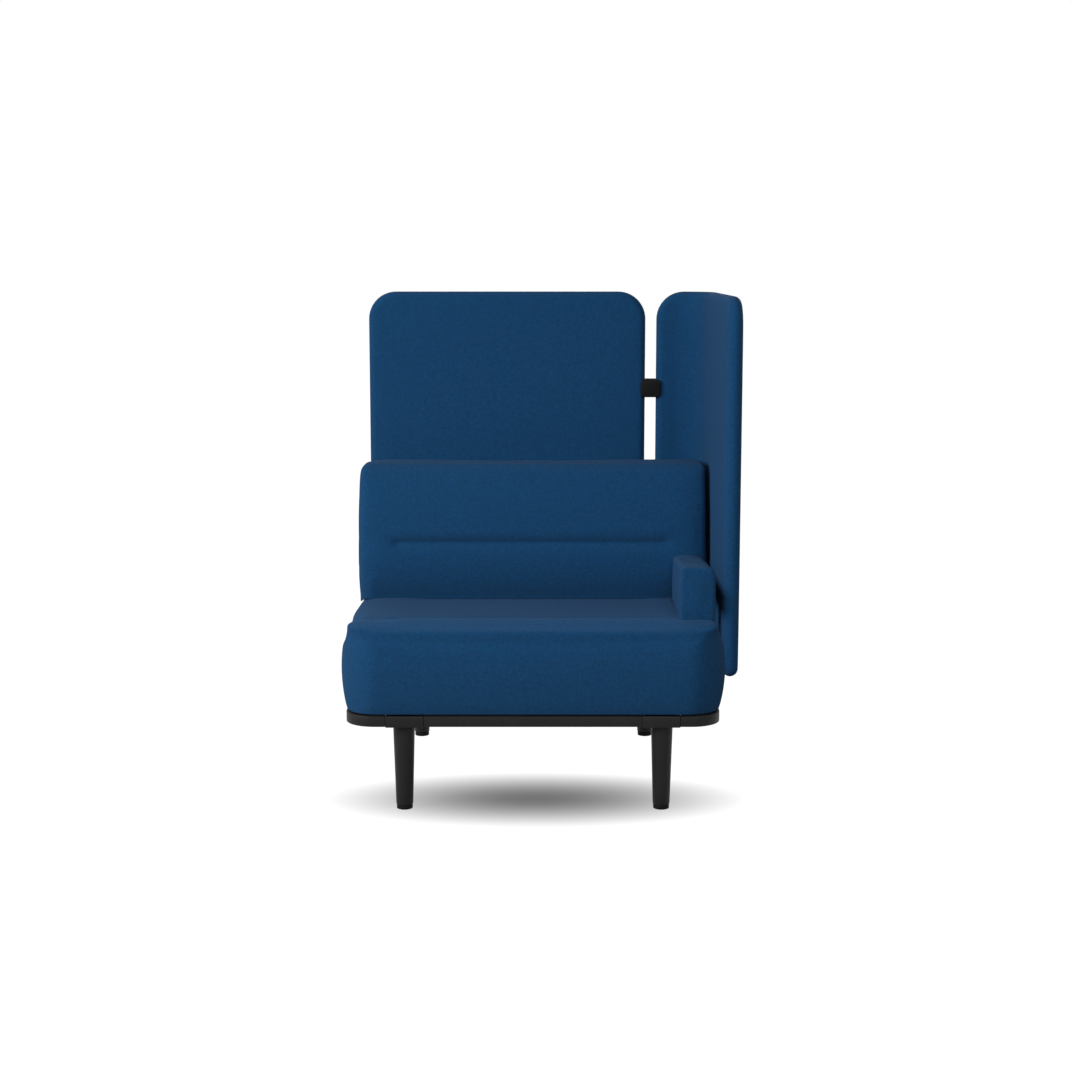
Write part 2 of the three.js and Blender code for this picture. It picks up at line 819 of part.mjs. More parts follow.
const bendRadius = screenBendRadius + screenThickness / 2;
const bendLength = bendRadius * Math.PI / 2;
const bendCentre = { x: screenMidX - bendRadius, y: screenMidY - bendRadius };
const beforeBend = bendCentre.x - cornerScreenLeft;
const afterBend = bendCentre.y - sideScreenFront;
const bendSteps = 8;

const cornerScreenPath = {
  length: beforeBend + bendLength + afterBend,
  bends: Array.from({ length: bendSteps + 1 }, (_, i) => beforeBend + (i / bendSteps) * bendLength),
  at: (s) => {
    if (s < beforeBend) return { x: cornerScreenLeft + s, y: screenMidY, nx: 0, ny: -1 };
    const past = s - beforeBend - bendLength;
    if (past > 0) return { x: screenMidX, y: bendCentre.y - past, nx: -1, ny: 0 };
    const angle = (s - beforeBend) / bendRadius;
    const [sin, cos] = [Math.sin(angle), Math.cos(angle)];
    return { x: bendCentre.x + bendRadius * sin, y: bendCentre.y + bendRadius * cos, nx: -sin, ny: -cos };
  },
};

// A slab along a path, with round corners seen square on, the lower ones of footCorner, and round edges all
// about. turnShares are the stations round an upper corner, as shares of its quarter turn, and edgeShares
// the places across an edge's round
function slab(path, { inset, thickness, edge, corner, footCorner, turnShares, edgeShares }) {
  const [start, end] = [inset, path.length - inset];
  const [bottom, top] = [screenBottom + inset, screenTop - inset];
  const away = (share) => corner * (1 - Math.cos(share * Math.PI / 2));
  const stations = [
    ...turnShares.map((share) => start + away(share)),
    ...path.bends.filter((s) => s > start + corner + edge && s < end - corner - edge),
    ...turnShares.toReversed().map((share) => end - away(share)),
  ];
  const rings = stations.map((s) => {
    const along = Math.min(s - start, end - s);
    const levels = (radius, height) => {
      const cutBack = along < radius ? radius - Math.sqrt(radius ** 2 - (radius - along) ** 2) : 0;
      const rises = [...edgeShares.map((share) => cutBack + share * edge), radius + 2 * edge];
      return rises.map((up) => ({ z: height(up), half: slabHalf(along, up, thickness, edge, radius) }));
    };
    const lower = levels(footCorner, (up) => bottom + up);
    const upper = levels(corner, (up) => top - up);
    const { x, y, nx, ny } = path.at(s);
    const side = (turn) => [...lower, ...upper.toReversed()].map(({ z, half }) => {
      return new THREE.Vector3(x + turn * nx * half, y + turn * ny * half, z);
    });
    return [...side(1), ...side(-1).toReversed()];
  });
  return skin(rings);
}

// Half the thickness of a slab at a place given by its distances from the nearest end and edge
function slabHalf(along, up, thickness, edge, corner) {
  const inCorner = along < corner && up < corner;
  const distance = inCorner ? corner - Math.hypot(corner - along, corner - up) : Math.min(along, up);
  const into = THREE.MathUtils.clamp(distance, 0, edge);
  return thickness / 2 - edge + Math.sqrt(edge ** 2 - (edge - into) ** 2);
}

const sleeveShape = {
  inset: 0,
  thickness: screenThickness,
  edge: screenEdgeRadius,
  corner: screenCornerRadius,
  footCorner: screenFootRadius,
  turnShares: [0, 0.14, 0.32, 0.54, 0.77, 1],
  edgeShares: [0, 0.12, 0.42, 1],
};

function coreShape(clearance) {
  return {
    inset: coreInset - clearance,
    thickness: coreThickness + 2 * clearance,
    edge: coreEdgeRadius,
    corner: coreCornerRadius,
    footCorner: coreFootRadius,
    turnShares: [0, 0.33, 0.66, 1],
    edgeShares: [0, 1],
  };
}

// The padded sleeve of a screen, hollow for its core and slotted below for the blades
function screenSleeve(path, blades) {
  return cut(slab(path, sleeveShape), slab(path, coreShape(fit)), ...blades.map(bladeSlot));
}

function screenCore(path, blades) {
  return cut(slab(path, coreShape(0)), ...blades.map(bladeSlot));
}

// Screen brackets: which way each leads outwards, and where its blade stands

const backBlades = backBladePlaces.map((x) => ({ x, y: screenMidY, out: 'y' }));
const sideBlades = sideBladePlaces.map((y) => ({ x: screenMidX, y, out: 'x' }));

function bladeSlot({ x, y, out }) {
  const [wide, thin] = [bladeWidth + 2 * bladeSlack, bladeThickness + 2 * bladeSlack];
  return box(
    about(x, out === 'y' ? wide : thin),
    about(y, out === 'y' ? thin : wide),
    [screenBottom - overrun, bladeTop + bladeSlack],
  );
}

// The bolt that holds a bracket's foot under the rim, in the middle of the rail
function footBoltPlace({ x, y, out }) {
  return out === 'y' ? { x, y: rimHalfY - rimDepth / 2 } : { x: rimHalfX - rimDepth / 2, y };
}

function screenBracket(blade) {
  const { x, y, out } = blade;
  const bolt = footBoltPlace(blade);
  const footZ = [rimBottom - fit - footThickness, rimBottom - fit];
  const innerEdge = footBoltHeadDiameter / 2 + footReach;
  const foot = out === 'y'
    ? box(about(x, bladeWidth), [bolt.y - innerEdge, y + bladeThickness / 2], footZ)
    : box([bolt.x - innerEdge, x + bladeThickness / 2], about(y, bladeWidth), footZ);
  const upright = out === 'y'
    ? box(about(x, bladeWidth), about(y, bladeThickness), [footZ[0], bladeTop])
    : box(about(x, bladeThickness), about(y, bladeWidth), [footZ[0], bladeTop]);
  const hole = post(
    footBoltDiameter + boltSlack,
    [footZ[0] - overrun, footZ[1] + overrun],
    boltSides, bolt.x, bolt.y,
  );
  return cut(join(foot, upright), hole);
}

// The hole in a rail for a foot bolt, through its lower wall
function railHole(blade) {
  const { x, y } = footBoltPlace(blade);
  return post(
    footBoltDiameter + boltSlack,
    [rimBottom - overrun, rimBottom + rimWall + overrun],
    boltSides, x, y,
  );
}

function footBolt(blade) {
  const { x, y } = footBoltPlace(blade);
  const under = rimBottom - 2 * fit - footThickness;
  const shank = footBoltDiameter / 2;
  const head = footBoltHeadDiameter / 2;
  return turned([
    [0, under - footBoltHeadHeight],
    [head, under - footBoltHeadHeight],
    [head, under],
    [shank, under],
    [shank, rimTop - rimWall - fit],
    [0, rimTop - rimWall - fit],
  ], boltSides, x, y);
}

// Clip

const clipX = backScreenRight + screenSpacing / 2;

// A rounded plate lying against the screens between two depths
function clipPlate([y0, y1]) {
  const [halfX, halfZ] = [clipWidth / 2 - clipRadius, clipHeight / 2 - clipRadius];
  const outline = [
    ...quarter([clipX + halfX, clipCentreZ + halfZ], clipRadius, 0),
    ...quarter([clipX - halfX, clipCentreZ + halfZ], clipRadius, 1),
    ...quarter([clipX - halfX, clipCentreZ - halfZ], clipRadius, 2),
    ...quarter([clipX + halfX, clipCentreZ - halfZ], clipRadius, 3),
  ];
  return skin([y0, y1].map((y) => outline.map(([x, z]) => new THREE.Vector3(x, y, z))));
}

// A cylinder from front to back through the clip's middle
function clipBore(diameter, [y0, y1]) {
  const turn = post(diameter, [y0, y1], boltSides, 0, 0).rotateX(-Math.PI / 2);
  return turn.translate(clipX, 0, clipCentreZ);
}

const clipFrontY = screenInnerY - fit;
const clipRearY = screenInnerY + screenThickness + fit;
const clipScrewRearY = clipRearY + clipThickness + fit + clipScrewHeadHeight;

function clipFront() {
  const plate = clipPlate([clipFrontY - clipThickness, clipFrontY]);
  const neck = box(
    about(clipX, screenSpacing - 2 * fit),
    [clipFrontY - overrun, clipRearY - fit],
    about(clipCentreZ, clipNeckHeight),
  );
  const hole = clipBore(clipScrewDiameter + boltSlack, [clipFrontY, clipRearY]);
  return cut(join(plate, neck), hole);
}

function clipRear() {
  const plate = clipPlate([clipRearY, clipRearY + clipThickness]);
  const throughPlate = [clipRearY - overrun, clipRearY + clipThickness + overrun];
  return cut(plate, clipBore(clipScrewDiameter + boltSlack, throughPlate));
}

function clipScrew() {
  const outside = clipScrewRearY - clipScrewHeadHeight;
  const shank = clipBore(clipScrewDiameter, [clipFrontY + fit, outside + overrun]);
  const head = clipBore(clipScrewHeadDiameter, [outside, clipScrewRearY]);
  return join(shank, head);
}

// Finishes
const finishes = {
  cover: { color: 0x1b4069, roughness: 0.92, metalness: 0 },
  foam: { color: 0xd9d2b4, roughness: 0.95, metalness: 0 },
  ply: { color: 0xb98f5e, roughness: 0.7, metalness: 0 },
  coat: { color: 0x1c1c1d, roughness: 0.55, metalness: 0.1 },
  zinc: { color: 0x9a9da0, roughness: 0.4, metalness: 0.9 },
  nylon: { color: 0x141414, roughness: 0.6, metalness: 0 },
  rubber: { color: 0x18181a, roughness: 0.9, metalness: 0 },
  cloth: { color: 0x222326, roughness: 0.95, metalness: 0 },
};

// Corners of the base, by the names that its pieces carry
const corners = { fl: [-1, -1], fr: [1, -1], rl: [-1, 1], rr: [1, 1] };
const sides = { left: -1, right: 1 };

const lounge = new THREE.Group();

function place(name, geometry, finish) {
  const mesh = new THREE.Mesh(geometry, new THREE.MeshStandardMaterial(finishes[finish]));
  mesh.name = name;
  lounge.add(mesh);
}

place('rail_front', endRail(-1), 'coat');
place('rail_rear', cut(endRail(1), ...backBlades.map(railHole)), 'coat');
place('rail_left', sideRail(-1), 'coat');
place('rail_right', cut(sideRail(1), ...sideBlades.map(railHole)), 'coat');
for (const [side, turn] of Object.entries(sides)) place(`cross_rail_${side}`, crossRail(turn), 'coat');

for (const [corner, [sx, sy]] of Object.entries(corners)) {
  const [x, y] = [sx * legSpacingX / 2, sy * legSpacingY / 2];
  place(`leg_bracket_${corner}`, legBracket(sx, sy), 'coat');
  place(`leg_${corner}`, leg(x, y), 'coat');
  place(`leg_bolt_${corner}`, legBolt(x, y), 'zinc');
  place(`glide_stud_${corner}`, glideStud(x, y), 'zinc');
  place(`glide_pad_${corner}`, glidePad(x, y), 'nylon');
  place(`seat_spacer_${corner}`, seatSpacer(sx, sy), 'rubber');
}

place('seat_cover', seatCover(), 'cover');
place('seat_foam', seatFoam(), 'foam');
place('seat_board', seatBoard(), 'ply');
place('seat_dust_cloth', seatDustCloth(), 'cloth');

place('back_cover', backCover(), 'cover');
place('back_foam', backFoam(), 'foam');
place('back_board', backBoardBox(0), 'ply');
uprightsOf('back').forEach((upright, i) => {
  place(`back_upright_${Object.keys(sides)[i]}`, uprightBracket(upright), 'coat');
});

place('arm_cover', armCover(), 'cover');
place('arm_foam', armFoam(), 'foam');
place('arm_board', armBoardBox(0), 'ply');
uprightsOf('arm').forEach((upright, i) => {
  place(`arm_upright_${['front', 'rear'][i]}`, uprightBracket(upright), 'coat');
});

place('back_screen_sleeve', screenSleeve(backScreenPath, backBlades), 'cover');
place('back_screen_core', screenCore(backScreenPath, backBlades), 'ply');
place('corner_screen_sleeve', screenSleeve(cornerScreenPath, sideBlades), 'cover');
place('corner_screen_core', screenCore(cornerScreenPath, sideBlades), 'ply');

backBlades.forEach((blade, i) => {
  place(`back_screen_bracket_${Object.keys(sides)[i]}`, screenBracket(blade), 'coat');
  place(`back_screen_bolt_${Object.keys(sides)[i]}`, footBolt(blade), 'zinc');
});
sideBlades.forEach((blade, i) => {
  place(`side_screen_bracket_${['front', 'rear'][i]}`, screenBracket(blade), 'coat');
  place(`side_screen_bolt_${['front', 'rear'][i]}`, footBolt(blade), 'zinc');
});

place('clip_front', clipFront(), 'nylon');
place('clip_rear', clipRear(), 'nylon');
place('clip_screw', clipScrew(), 'zinc');

// The overall box runs from the cushion's bulge, left and front, to the side screen's outer face and to
// the head of the clip's screw behind the screens
const boxMiddleX = (screenMidX + screenThickness / 2 - rimHalfX - seatBulge) / 2;
const boxMiddleY = (clipScrewRearY - rimHalfY - seatBulge) / 2;
lounge.position.set(-boxMiddleX, -boxMiddleY, 0);
lounge.updateMatrixWorld(true);

export default lounge;
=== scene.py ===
# One seat of a modular lounge: upholstery, frame and stage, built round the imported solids.
# Metres, +Z up, the seat faces -Y. Sizes that a user would change are properties.
import math

import bmesh
import bpy
import numpy as np
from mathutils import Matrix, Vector


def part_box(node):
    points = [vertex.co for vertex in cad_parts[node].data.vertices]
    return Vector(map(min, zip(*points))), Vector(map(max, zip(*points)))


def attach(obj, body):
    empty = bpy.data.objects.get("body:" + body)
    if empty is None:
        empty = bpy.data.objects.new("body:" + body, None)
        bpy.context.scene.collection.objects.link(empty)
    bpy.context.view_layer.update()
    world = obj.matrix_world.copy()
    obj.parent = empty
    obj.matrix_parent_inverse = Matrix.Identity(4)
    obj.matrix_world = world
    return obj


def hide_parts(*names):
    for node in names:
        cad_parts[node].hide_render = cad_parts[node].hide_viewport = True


bl_info = {
    "name": "Lounge seat with acoustic screens",
    "version": (1, 0, 0),
    "blender": (4, 5, 0),
    "location": "3D View > Sidebar > Lounge",
    "description": "Builds a lounge seat's upholstery, frame and stage round its packed solids",
    "category": "Object",
}

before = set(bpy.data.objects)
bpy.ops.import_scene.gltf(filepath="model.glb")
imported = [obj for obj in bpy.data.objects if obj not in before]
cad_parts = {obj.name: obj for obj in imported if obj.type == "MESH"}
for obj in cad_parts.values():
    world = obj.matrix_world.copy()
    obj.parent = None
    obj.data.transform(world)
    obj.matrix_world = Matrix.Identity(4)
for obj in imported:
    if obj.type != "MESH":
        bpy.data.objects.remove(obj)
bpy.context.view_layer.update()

MM = 0.001
SAME_PLACE = 0.01 * MM  # points that lie nearer than this count as one
X, Y, Z = range(3)
LOUNGE = "lounge"
CORNERS = ("fl", "fr", "rl", "rr")

# The middle of the base in plan, and half its size, from the rim
RIM_LEFT, RIM_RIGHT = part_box("rail_left")[0].x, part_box("rail_right")[1].x
RIM_FRONT, RIM_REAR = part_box("rail_front")[0].y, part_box("rail_rear")[1].y
MIDDLE = Vector(((RIM_LEFT + RIM_RIGHT) / 2, (RIM_FRONT + RIM_REAR) / 2, 0))
HALF_X, HALF_Y = (RIM_RIGHT - RIM_LEFT) / 2, (RIM_REAR - RIM_FRONT) / 2


def length(name, value, description):
    """A size in metres that a user may change."""
    return bpy.props.FloatProperty(
        name=name, default=value, description=description, unit="LENGTH", precision=4)


def number(name, value, description, **settings):
    """Any other value that a user may change."""
    return bpy.props.FloatProperty(name=name, default=value, description=description, **settings)


def colour(name, value, description):
    """A colour that a user may change, given as an sRGB hex value."""
    return bpy.props.FloatVectorProperty(
        name=name, default=linear(value), description=description, subtype="COLOR", size=3,
        min=0, max=1)


def linear(value):
    """An sRGB hex colour as linear red, green and blue."""
    parts = [((value >> shift) & 255) / 255 for shift in (16, 8, 0)]
    return tuple(c / 12.92 if c <= 0.04045 else ((c + 0.055) / 1.055) ** 2.4 for c in parts)


class LoungeCushions(bpy.types.PropertyGroup):
    """Sizes of the seat, the back and the armrest"""
    crease_height: length("Crease height", 0.455, "Seat top at its sewn crease")
    crease_setback: length("Crease setback", 0.097, "Sewn crease behind the rim's front face")
    crease_depth: length("Crease depth", 0.012, "How far the sewn crease draws the seat top in")
    crease_half: length("Crease half length", 0.336, "Half the length of the sewn crease")
    seat_bulge: length("Seat bulge", 0.0125, "How far the seat's sides swell past the rim")
    seat_top_radius: length("Seat top radius", 0.010, "Round of the seat's top edge")
    seat_foot_radius: length("Seat foot radius", 0.002, "Hem of the seat cover's lower edge")
    plan_radius: length("Plan radius", 0.073, "Corner radius of the seat and rim in plan")
    back_lean: length("Back lean", 0.065, "How far the back's top lies behind its foremost point")
    valley_depth: length("Valley depth", 0.009, "How far the sewn valley draws the back in")
    valley_height: length("Valley height", 0.1495, "Sewn valley above the back's foot")
    valley_half: length("Valley half length", 0.352, "Half the length of the sewn valley")
    arm_bulge: length("Arm bulge", 0.001, "How far the armrest's sides swell")
    arm_turn: length("Arm turn", 0.010, "How much nearer the side screen the armrest's rear end is")
    swell: length("Swell", 0.003, "Room left in the cut shape for the padding to swell into")
    voxel: length("Voxel", 0.008, "Cell of the even mesh that the padding is given")
    pressure: number("Pressure", 45.0, "Pressure of the padding in its cover")


class LoungeScreens(bpy.types.PropertyGroup):
    """Sizes of the two acoustic screens"""
    corner_radius: length("Corner radius", 0.075, "Round of the screens' upper corners")
    foot_radius: length("Foot radius", 0.026, "Round of the screens' lower corners")
    edge_radius: length("Edge radius", 0.0185, "Round of the padded edge")
    bend_radius: length("Bend radius", 0.084, "Inner radius of the bent screen in plan")
    crown: length("Crown", 0.0025, "How far the padding stands up in the middle of a face")
    cell: length("Cell", 0.045, "Distance between the cuts across a screen's faces")


class LoungeFrame(bpy.types.PropertyGroup):
    """Sizes of the rim, the legs and the fittings"""
    rim_depth: length("Rim depth", 0.025, "Width of the rim's tube in plan")
    rim_edge: length("Rim edge", 0.002, "Round of the rim tube's edges")
    bracket_edge: length("Bracket edge", 0.0022, "Round of the cast brackets' edges")
    plate_edge: length("Plate edge", 0.0008, "Round of the steel plates' edges")
    leg_shoulder: length("Leg shoulder", 0.009, "Straight length at the top of a leg")
    leg_edge: length("Leg edge", 0.0012, "Round of a leg's ends")
    clip_radius: length("Clip radius", 0.012, "Corner radius of the clip's plates")
    clip_edge: length("Clip edge", 0.0022, "Round of the clip's outer edges")


class LoungeColours(bpy.types.PropertyGroup):
    """Colours of the finishes"""
    wool: colour("Wool", 0x08426E, "Main colour of the felted wool")
    wool_dark: colour("Wool, dark fibres", 0x063659, "Darker fibres in the felted wool")
    wool_pale: colour("Wool, pale nap", 0x8CA4C0, "Pale nap that shows at a glancing angle")
    coat: colour("Powder coat", 0x191919, "Black powder coat of the frame and legs")
    nylon: colour("Nylon", 0x0E0E0E, "Black nylon of the clip and the glides")
    zinc: colour("Zinc", 0xB4B7BA, "Zinc-plated steel")
    ply: colour("Plywood", 0xC49A68, "Birch plywood")
    ply_dark: colour("Plywood, dark grain", 0x97703F, "Darker grain of the birch plywood")


class LoungeStage(bpy.types.PropertyGroup):
    """The camera and the lamps"""
    camera_x: length("Camera x", -0.014116, "Camera place, sideways")
    camera_y: length("Camera y", -4.835554, "Camera place, front to back")
    camera_z: length("Camera z", 1.321116, "Camera height")
    tilt: number("Tilt", math.radians(8.38325), "Camera tilt below the horizontal", subtype="ANGLE")
    lens: number("Lens", 63.806, "Focal length in millimetres on a 36 mm frame")
    key: number("Key lamp", 173.0, "Power of the lamp at the left, in watts")
    front: number("Front lamp", 53.0, "Power of the lamp at the front, in watts")
    rear: number("Rear lamp", 100.0, "Power of the lamp behind, in watts")
    high: number("High lamp", 50.0, "Power of the lamp above the screens, in watts")
    sky: number("Sky", 0.11, "Strength of the even light from all round")


# Picking and shaping

def none_chosen():
    """Goes to object mode with nothing selected."""
    if bpy.context.mode != "OBJECT":
        bpy.ops.object.mode_set(mode="OBJECT")
    bpy.ops.object.select_all(action="DESELECT")


def only(piece):
    """Leaves one piece selected and active, in object mode."""
    none_chosen()
    piece.select_set(True)
    bpy.context.view_layer.objects.active = piece


def named(piece, name):
    piece.name = piece.data.name = name
    return piece


def begin(name, add, **place):
    """A new primitive on its own, with its name and its place in its mesh."""
    none_chosen()
    add(**place)
    piece = named(bpy.context.object, name)
    bpy.ops.object.transform_apply(location=True, rotation=True, scale=True)
    return piece


def copy_of(piece, name):
    """A copy of a piece with its own mesh."""
    only(piece)
    bpy.ops.object.duplicate()
    return named(bpy.context.object, name)


def block(name, low, high):
    """A new block between two corners."""
    low, high = Vector(low), Vector(high)
    return begin(name, bpy.ops.mesh.primitive_cube_add, size=1, location=(low + high) / 2,
                 scale=high - low)


def edit(piece, kind, action):
    """Goes into edit mode, to pick vertices or faces, with all or none of them selected."""
    only(piece)
    bpy.ops.object.mode_set(mode="EDIT")
    bpy.ops.mesh.select_mode(type=kind)
    bpy.ops.mesh.select_all(action=action)


def choose(piece, test):
    """Goes into edit mode with just the faces that pass the test selected."""
    edit(piece, "FACE", "DESELECT")
    mesh = bmesh.from_edit_mesh(piece.data)
    for face in mesh.faces:
        if test(face):
            face.select_set(True)
    bmesh.update_edit_mesh(piece.data)


def upward(face):
    """Whether a face looks up."""
    return face.normal.z > LEVEL


LEVEL = 0.9  # least upright part of the normal of a face that counts as level


def done():
    bpy.ops.object.mode_set(mode="OBJECT")


def apply_modifier(piece, kind, **settings):
    """Adds a modifier, gives it its settings and applies it."""
    only(piece)
    bpy.ops.object.modifier_add(type=kind)
    modifier = piece.modifiers[-1]
    for name, value in settings.items():
        setattr(modifier, name, value)
    bpy.ops.object.modifier_apply(modifier=modifier.name)


BEVEL_WEIGHT = "bevel_weight_edge"


def soften(piece, rounds, segments):
    """Rounds each edge by the radius of the first (test, radius) pair that its ends pass."""
    mesh = bmesh.new()
    mesh.from_mesh(piece.data)
    weights = mesh.edges.layers.float.get(BEVEL_WEIGHT) or mesh.edges.layers.float.new(BEVEL_WEIGHT)
    widest = max(radius for _, radius in rounds)
    for edge in mesh.edges:
        edge[weights] = 0
        a, b = (v.co for v in edge.verts)
        for test, radius in rounds:
            if test(a, b):
                edge[weights] = radius / widest
                break
    mesh.to_mesh(piece.data)
    mesh.free()
    apply_modifier(piece, "BEVEL", width=widest, segments=segments, limit_method="WEIGHT",
                   use_clamp_overlap=False)


def within(*planes):
    """A test for edges with both ends in every plane, given as (axis, value) pairs."""
    return lambda a, b: all(
        abs(end[axis] - value) < SAME_PLACE for end in (a, b) for axis, value in planes)


def running(axis, shortest):
    """A test for edges that run further than a length along an axis."""
    return lambda a, b: abs(a[axis] - b[axis]) > shortest


def round_all(piece, radius, segments, sharp=40):
    """Rounds every edge whose faces stand at more than an angle to each other."""
    apply_modifier(piece, "BEVEL", width=radius, segments=segments, limit_method="ANGLE",
                   angle_limit=math.radians(sharp))


def smooth(piece, angle=None):
    """Smooth shading, all over or up to an angle between faces."""
    only(piece)
    if angle is None:
        bpy.ops.object.shade_smooth()
    else:
        bpy.ops.object.shade_smooth_by_angle(angle=math.radians(angle))


def outward_again(piece):
    """Merges doubles and turns every face outwards."""
    edit(piece, "VERT", "SELECT")
    bpy.ops.mesh.remove_doubles(threshold=SAME_PLACE)
    bpy.ops.mesh.normals_make_consistent(inside=False)
    done()


def cut_away(piece, at, normal):
    """Cuts off what lies on the normal's side of a plane and closes the cut."""
    edit(piece, "VERT", "SELECT")
    bpy.ops.mesh.bisect(plane_co=at, plane_no=normal, use_fill=True, clear_outer=True,
                        clear_inner=False)
    done()


def cut_across(piece, places, normal):
    """Cuts a piece's faces along planes, and takes nothing away."""
    edit(piece, "VERT", "SELECT")
    for at in places:
        bpy.ops.mesh.select_all(action="SELECT")
        bpy.ops.mesh.bisect(plane_co=at, plane_no=normal, use_fill=False, clear_outer=False,
                            clear_inner=False)
    done()


def draw_up(height):
    """Extrudes the selected faces upwards, or down into the piece."""
    bpy.ops.mesh.extrude_region_move(TRANSFORM_OT_translate={"value": (0, 0, height)})


def points(piece):
    """A piece's vertices as rows of x, y, z."""
    found = np.empty(len(piece.data.vertices) * 3)
    piece.data.vertices.foreach_get("co", found)
    return found.reshape(-1, 3)


def put_points(piece, places):
    piece.data.vertices.foreach_set("co", np.ascontiguousarray(places).ravel())
    piece.data.update()


def from_middle(piece):
    """A piece's vertices as columns x, y, z from the middle of the base."""
    places = points(piece) - np.array(MIDDLE)
    return places[:, X], places[:, Y], places[:, Z]


def put_from_middle(piece, x, y, z):
    put_points(piece, np.column_stack((x, y, z)) + np.array(MIDDLE))


def hump(distance, width):
    """A smooth hump, 1 at no distance and next to nothing past twice the width."""
    return np.exp(-(distance / width) ** 2)


def fade(distance, limit, width):
    """1 well inside a limit, 0 well outside it, and a smooth change between."""
    share = np.clip((limit + width / 2 - distance) / width, 0, 1)
    return share * share * (3 - 2 * share)


# Padding

def even_mesh(piece, cell):
    """Gives a cut shape an even skin of small faces and takes its corners off."""
    only(piece)
    piece.data.remesh_voxel_size = cell
    bpy.ops.object.voxel_remesh()
    apply_modifier(piece, "SMOOTH", factor=0.5, iterations=3)


def swell(piece, room, pressure, held):
    """Blows the padding up inside its cover, while the held vertices stay where they are. No
    point moves much further than the room that the cut shape left for it."""
    start = points(piece)
    group = piece.vertex_groups.new(name="held")
    group.add([int(i) for i in np.flatnonzero(held > 0.5)], 1.0, "REPLACE")
    only(piece)
    bpy.ops.object.modifier_add(type="CLOTH")
    cloth = piece.modifiers[-1]
    cloth.settings.use_pressure = True
    cloth.settings.uniform_pressure_force = pressure
    cloth.settings.vertex_group_mass = group.name
    cloth.settings.effector_weights.gravity = 0
    for step in range(1, SWELL_STEPS + 1):
        bpy.context.scene.frame_set(step)
    bpy.ops.object.modifier_apply(modifier=cloth.name)
    bpy.context.scene.frame_set(1)
    piece.vertex_groups.clear()
    moved = points(piece) - start
    far = np.maximum(np.linalg.norm(moved, axis=1, keepdims=True), 1e-9)
    put_points(piece, start + moved / far * room * SWELL_CAP_SHARE * np.tanh(far / room))


SWELL_STEPS = 20
SWELL_CAP_SHARE = 1.15


def fine_skin(piece):
    """One subdivision of a padded piece, smoothed and shaded smooth."""
    apply_modifier(piece, "SMOOTH", factor=0.5, iterations=2)
    apply_modifier(piece, "SUBSURF", levels=1, render_levels=1)
    smooth(piece)


def out_of_plan(x, y, half_x, half_y, radius):
    """How deep each point lies inside a round-cornered plan, and the way out of it."""
    qx, qy = np.abs(x) - (half_x - radius), np.abs(y) - (half_y - radius)
    in_corner = (qx > 0) & (qy > 0)
    away = np.maximum(np.hypot(qx, qy), 1e-9)
    depth = np.where(in_corner, radius - away, radius - np.maximum(qx, qy))
    nx = np.where(in_corner, qx / away, qx >= qy) * np.sign(x)
    ny = np.where(in_corner, qy / away, qx < qy) * np.sign(y)
    return depth, nx, ny


# Seat, back and arm

SEAT_SLOPE = 0.053  # fall of the seat's top towards the back
ARM_SLOPE = 0.0858  # the same of the armrest's top
BACK_TOP_SLOPE = 0.08  # the same of the back's top


def seat_top_at(y, sizes):
    """Height of the seat's top, at a distance behind the middle of the base."""
    return sizes.crease_height - SEAT_SLOPE * (y + HALF_Y - sizes.crease_setback)


def pressed_at(x, y):
    """1 where the back or arm stands on the seat, 0 well clear, from the middle of the base."""
    inside = np.zeros(len(x))
    for name in ("back_cover", "arm_cover"):
        low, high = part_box(name)
        out_x = np.maximum(low.x - MIDDLE.x - x, x - (high.x - MIDDLE.x))
        out_y = np.maximum(low.y - MIDDLE.y - y, y - (high.y - MIDDLE.y))
        inside = np.maximum(inside, fade(np.maximum(out_x, out_y), -PRESS_MARGIN, PRESS_MARGIN))
    return inside


PRESS_MARGIN = 0.012


def dimples(along, across, half):
    """Dimples at both ends of a seam, from distances along it and across it."""
    return sum(hump(np.hypot(along - end * half, across), DIMPLE_WIDTH) for end in (-1, 1))


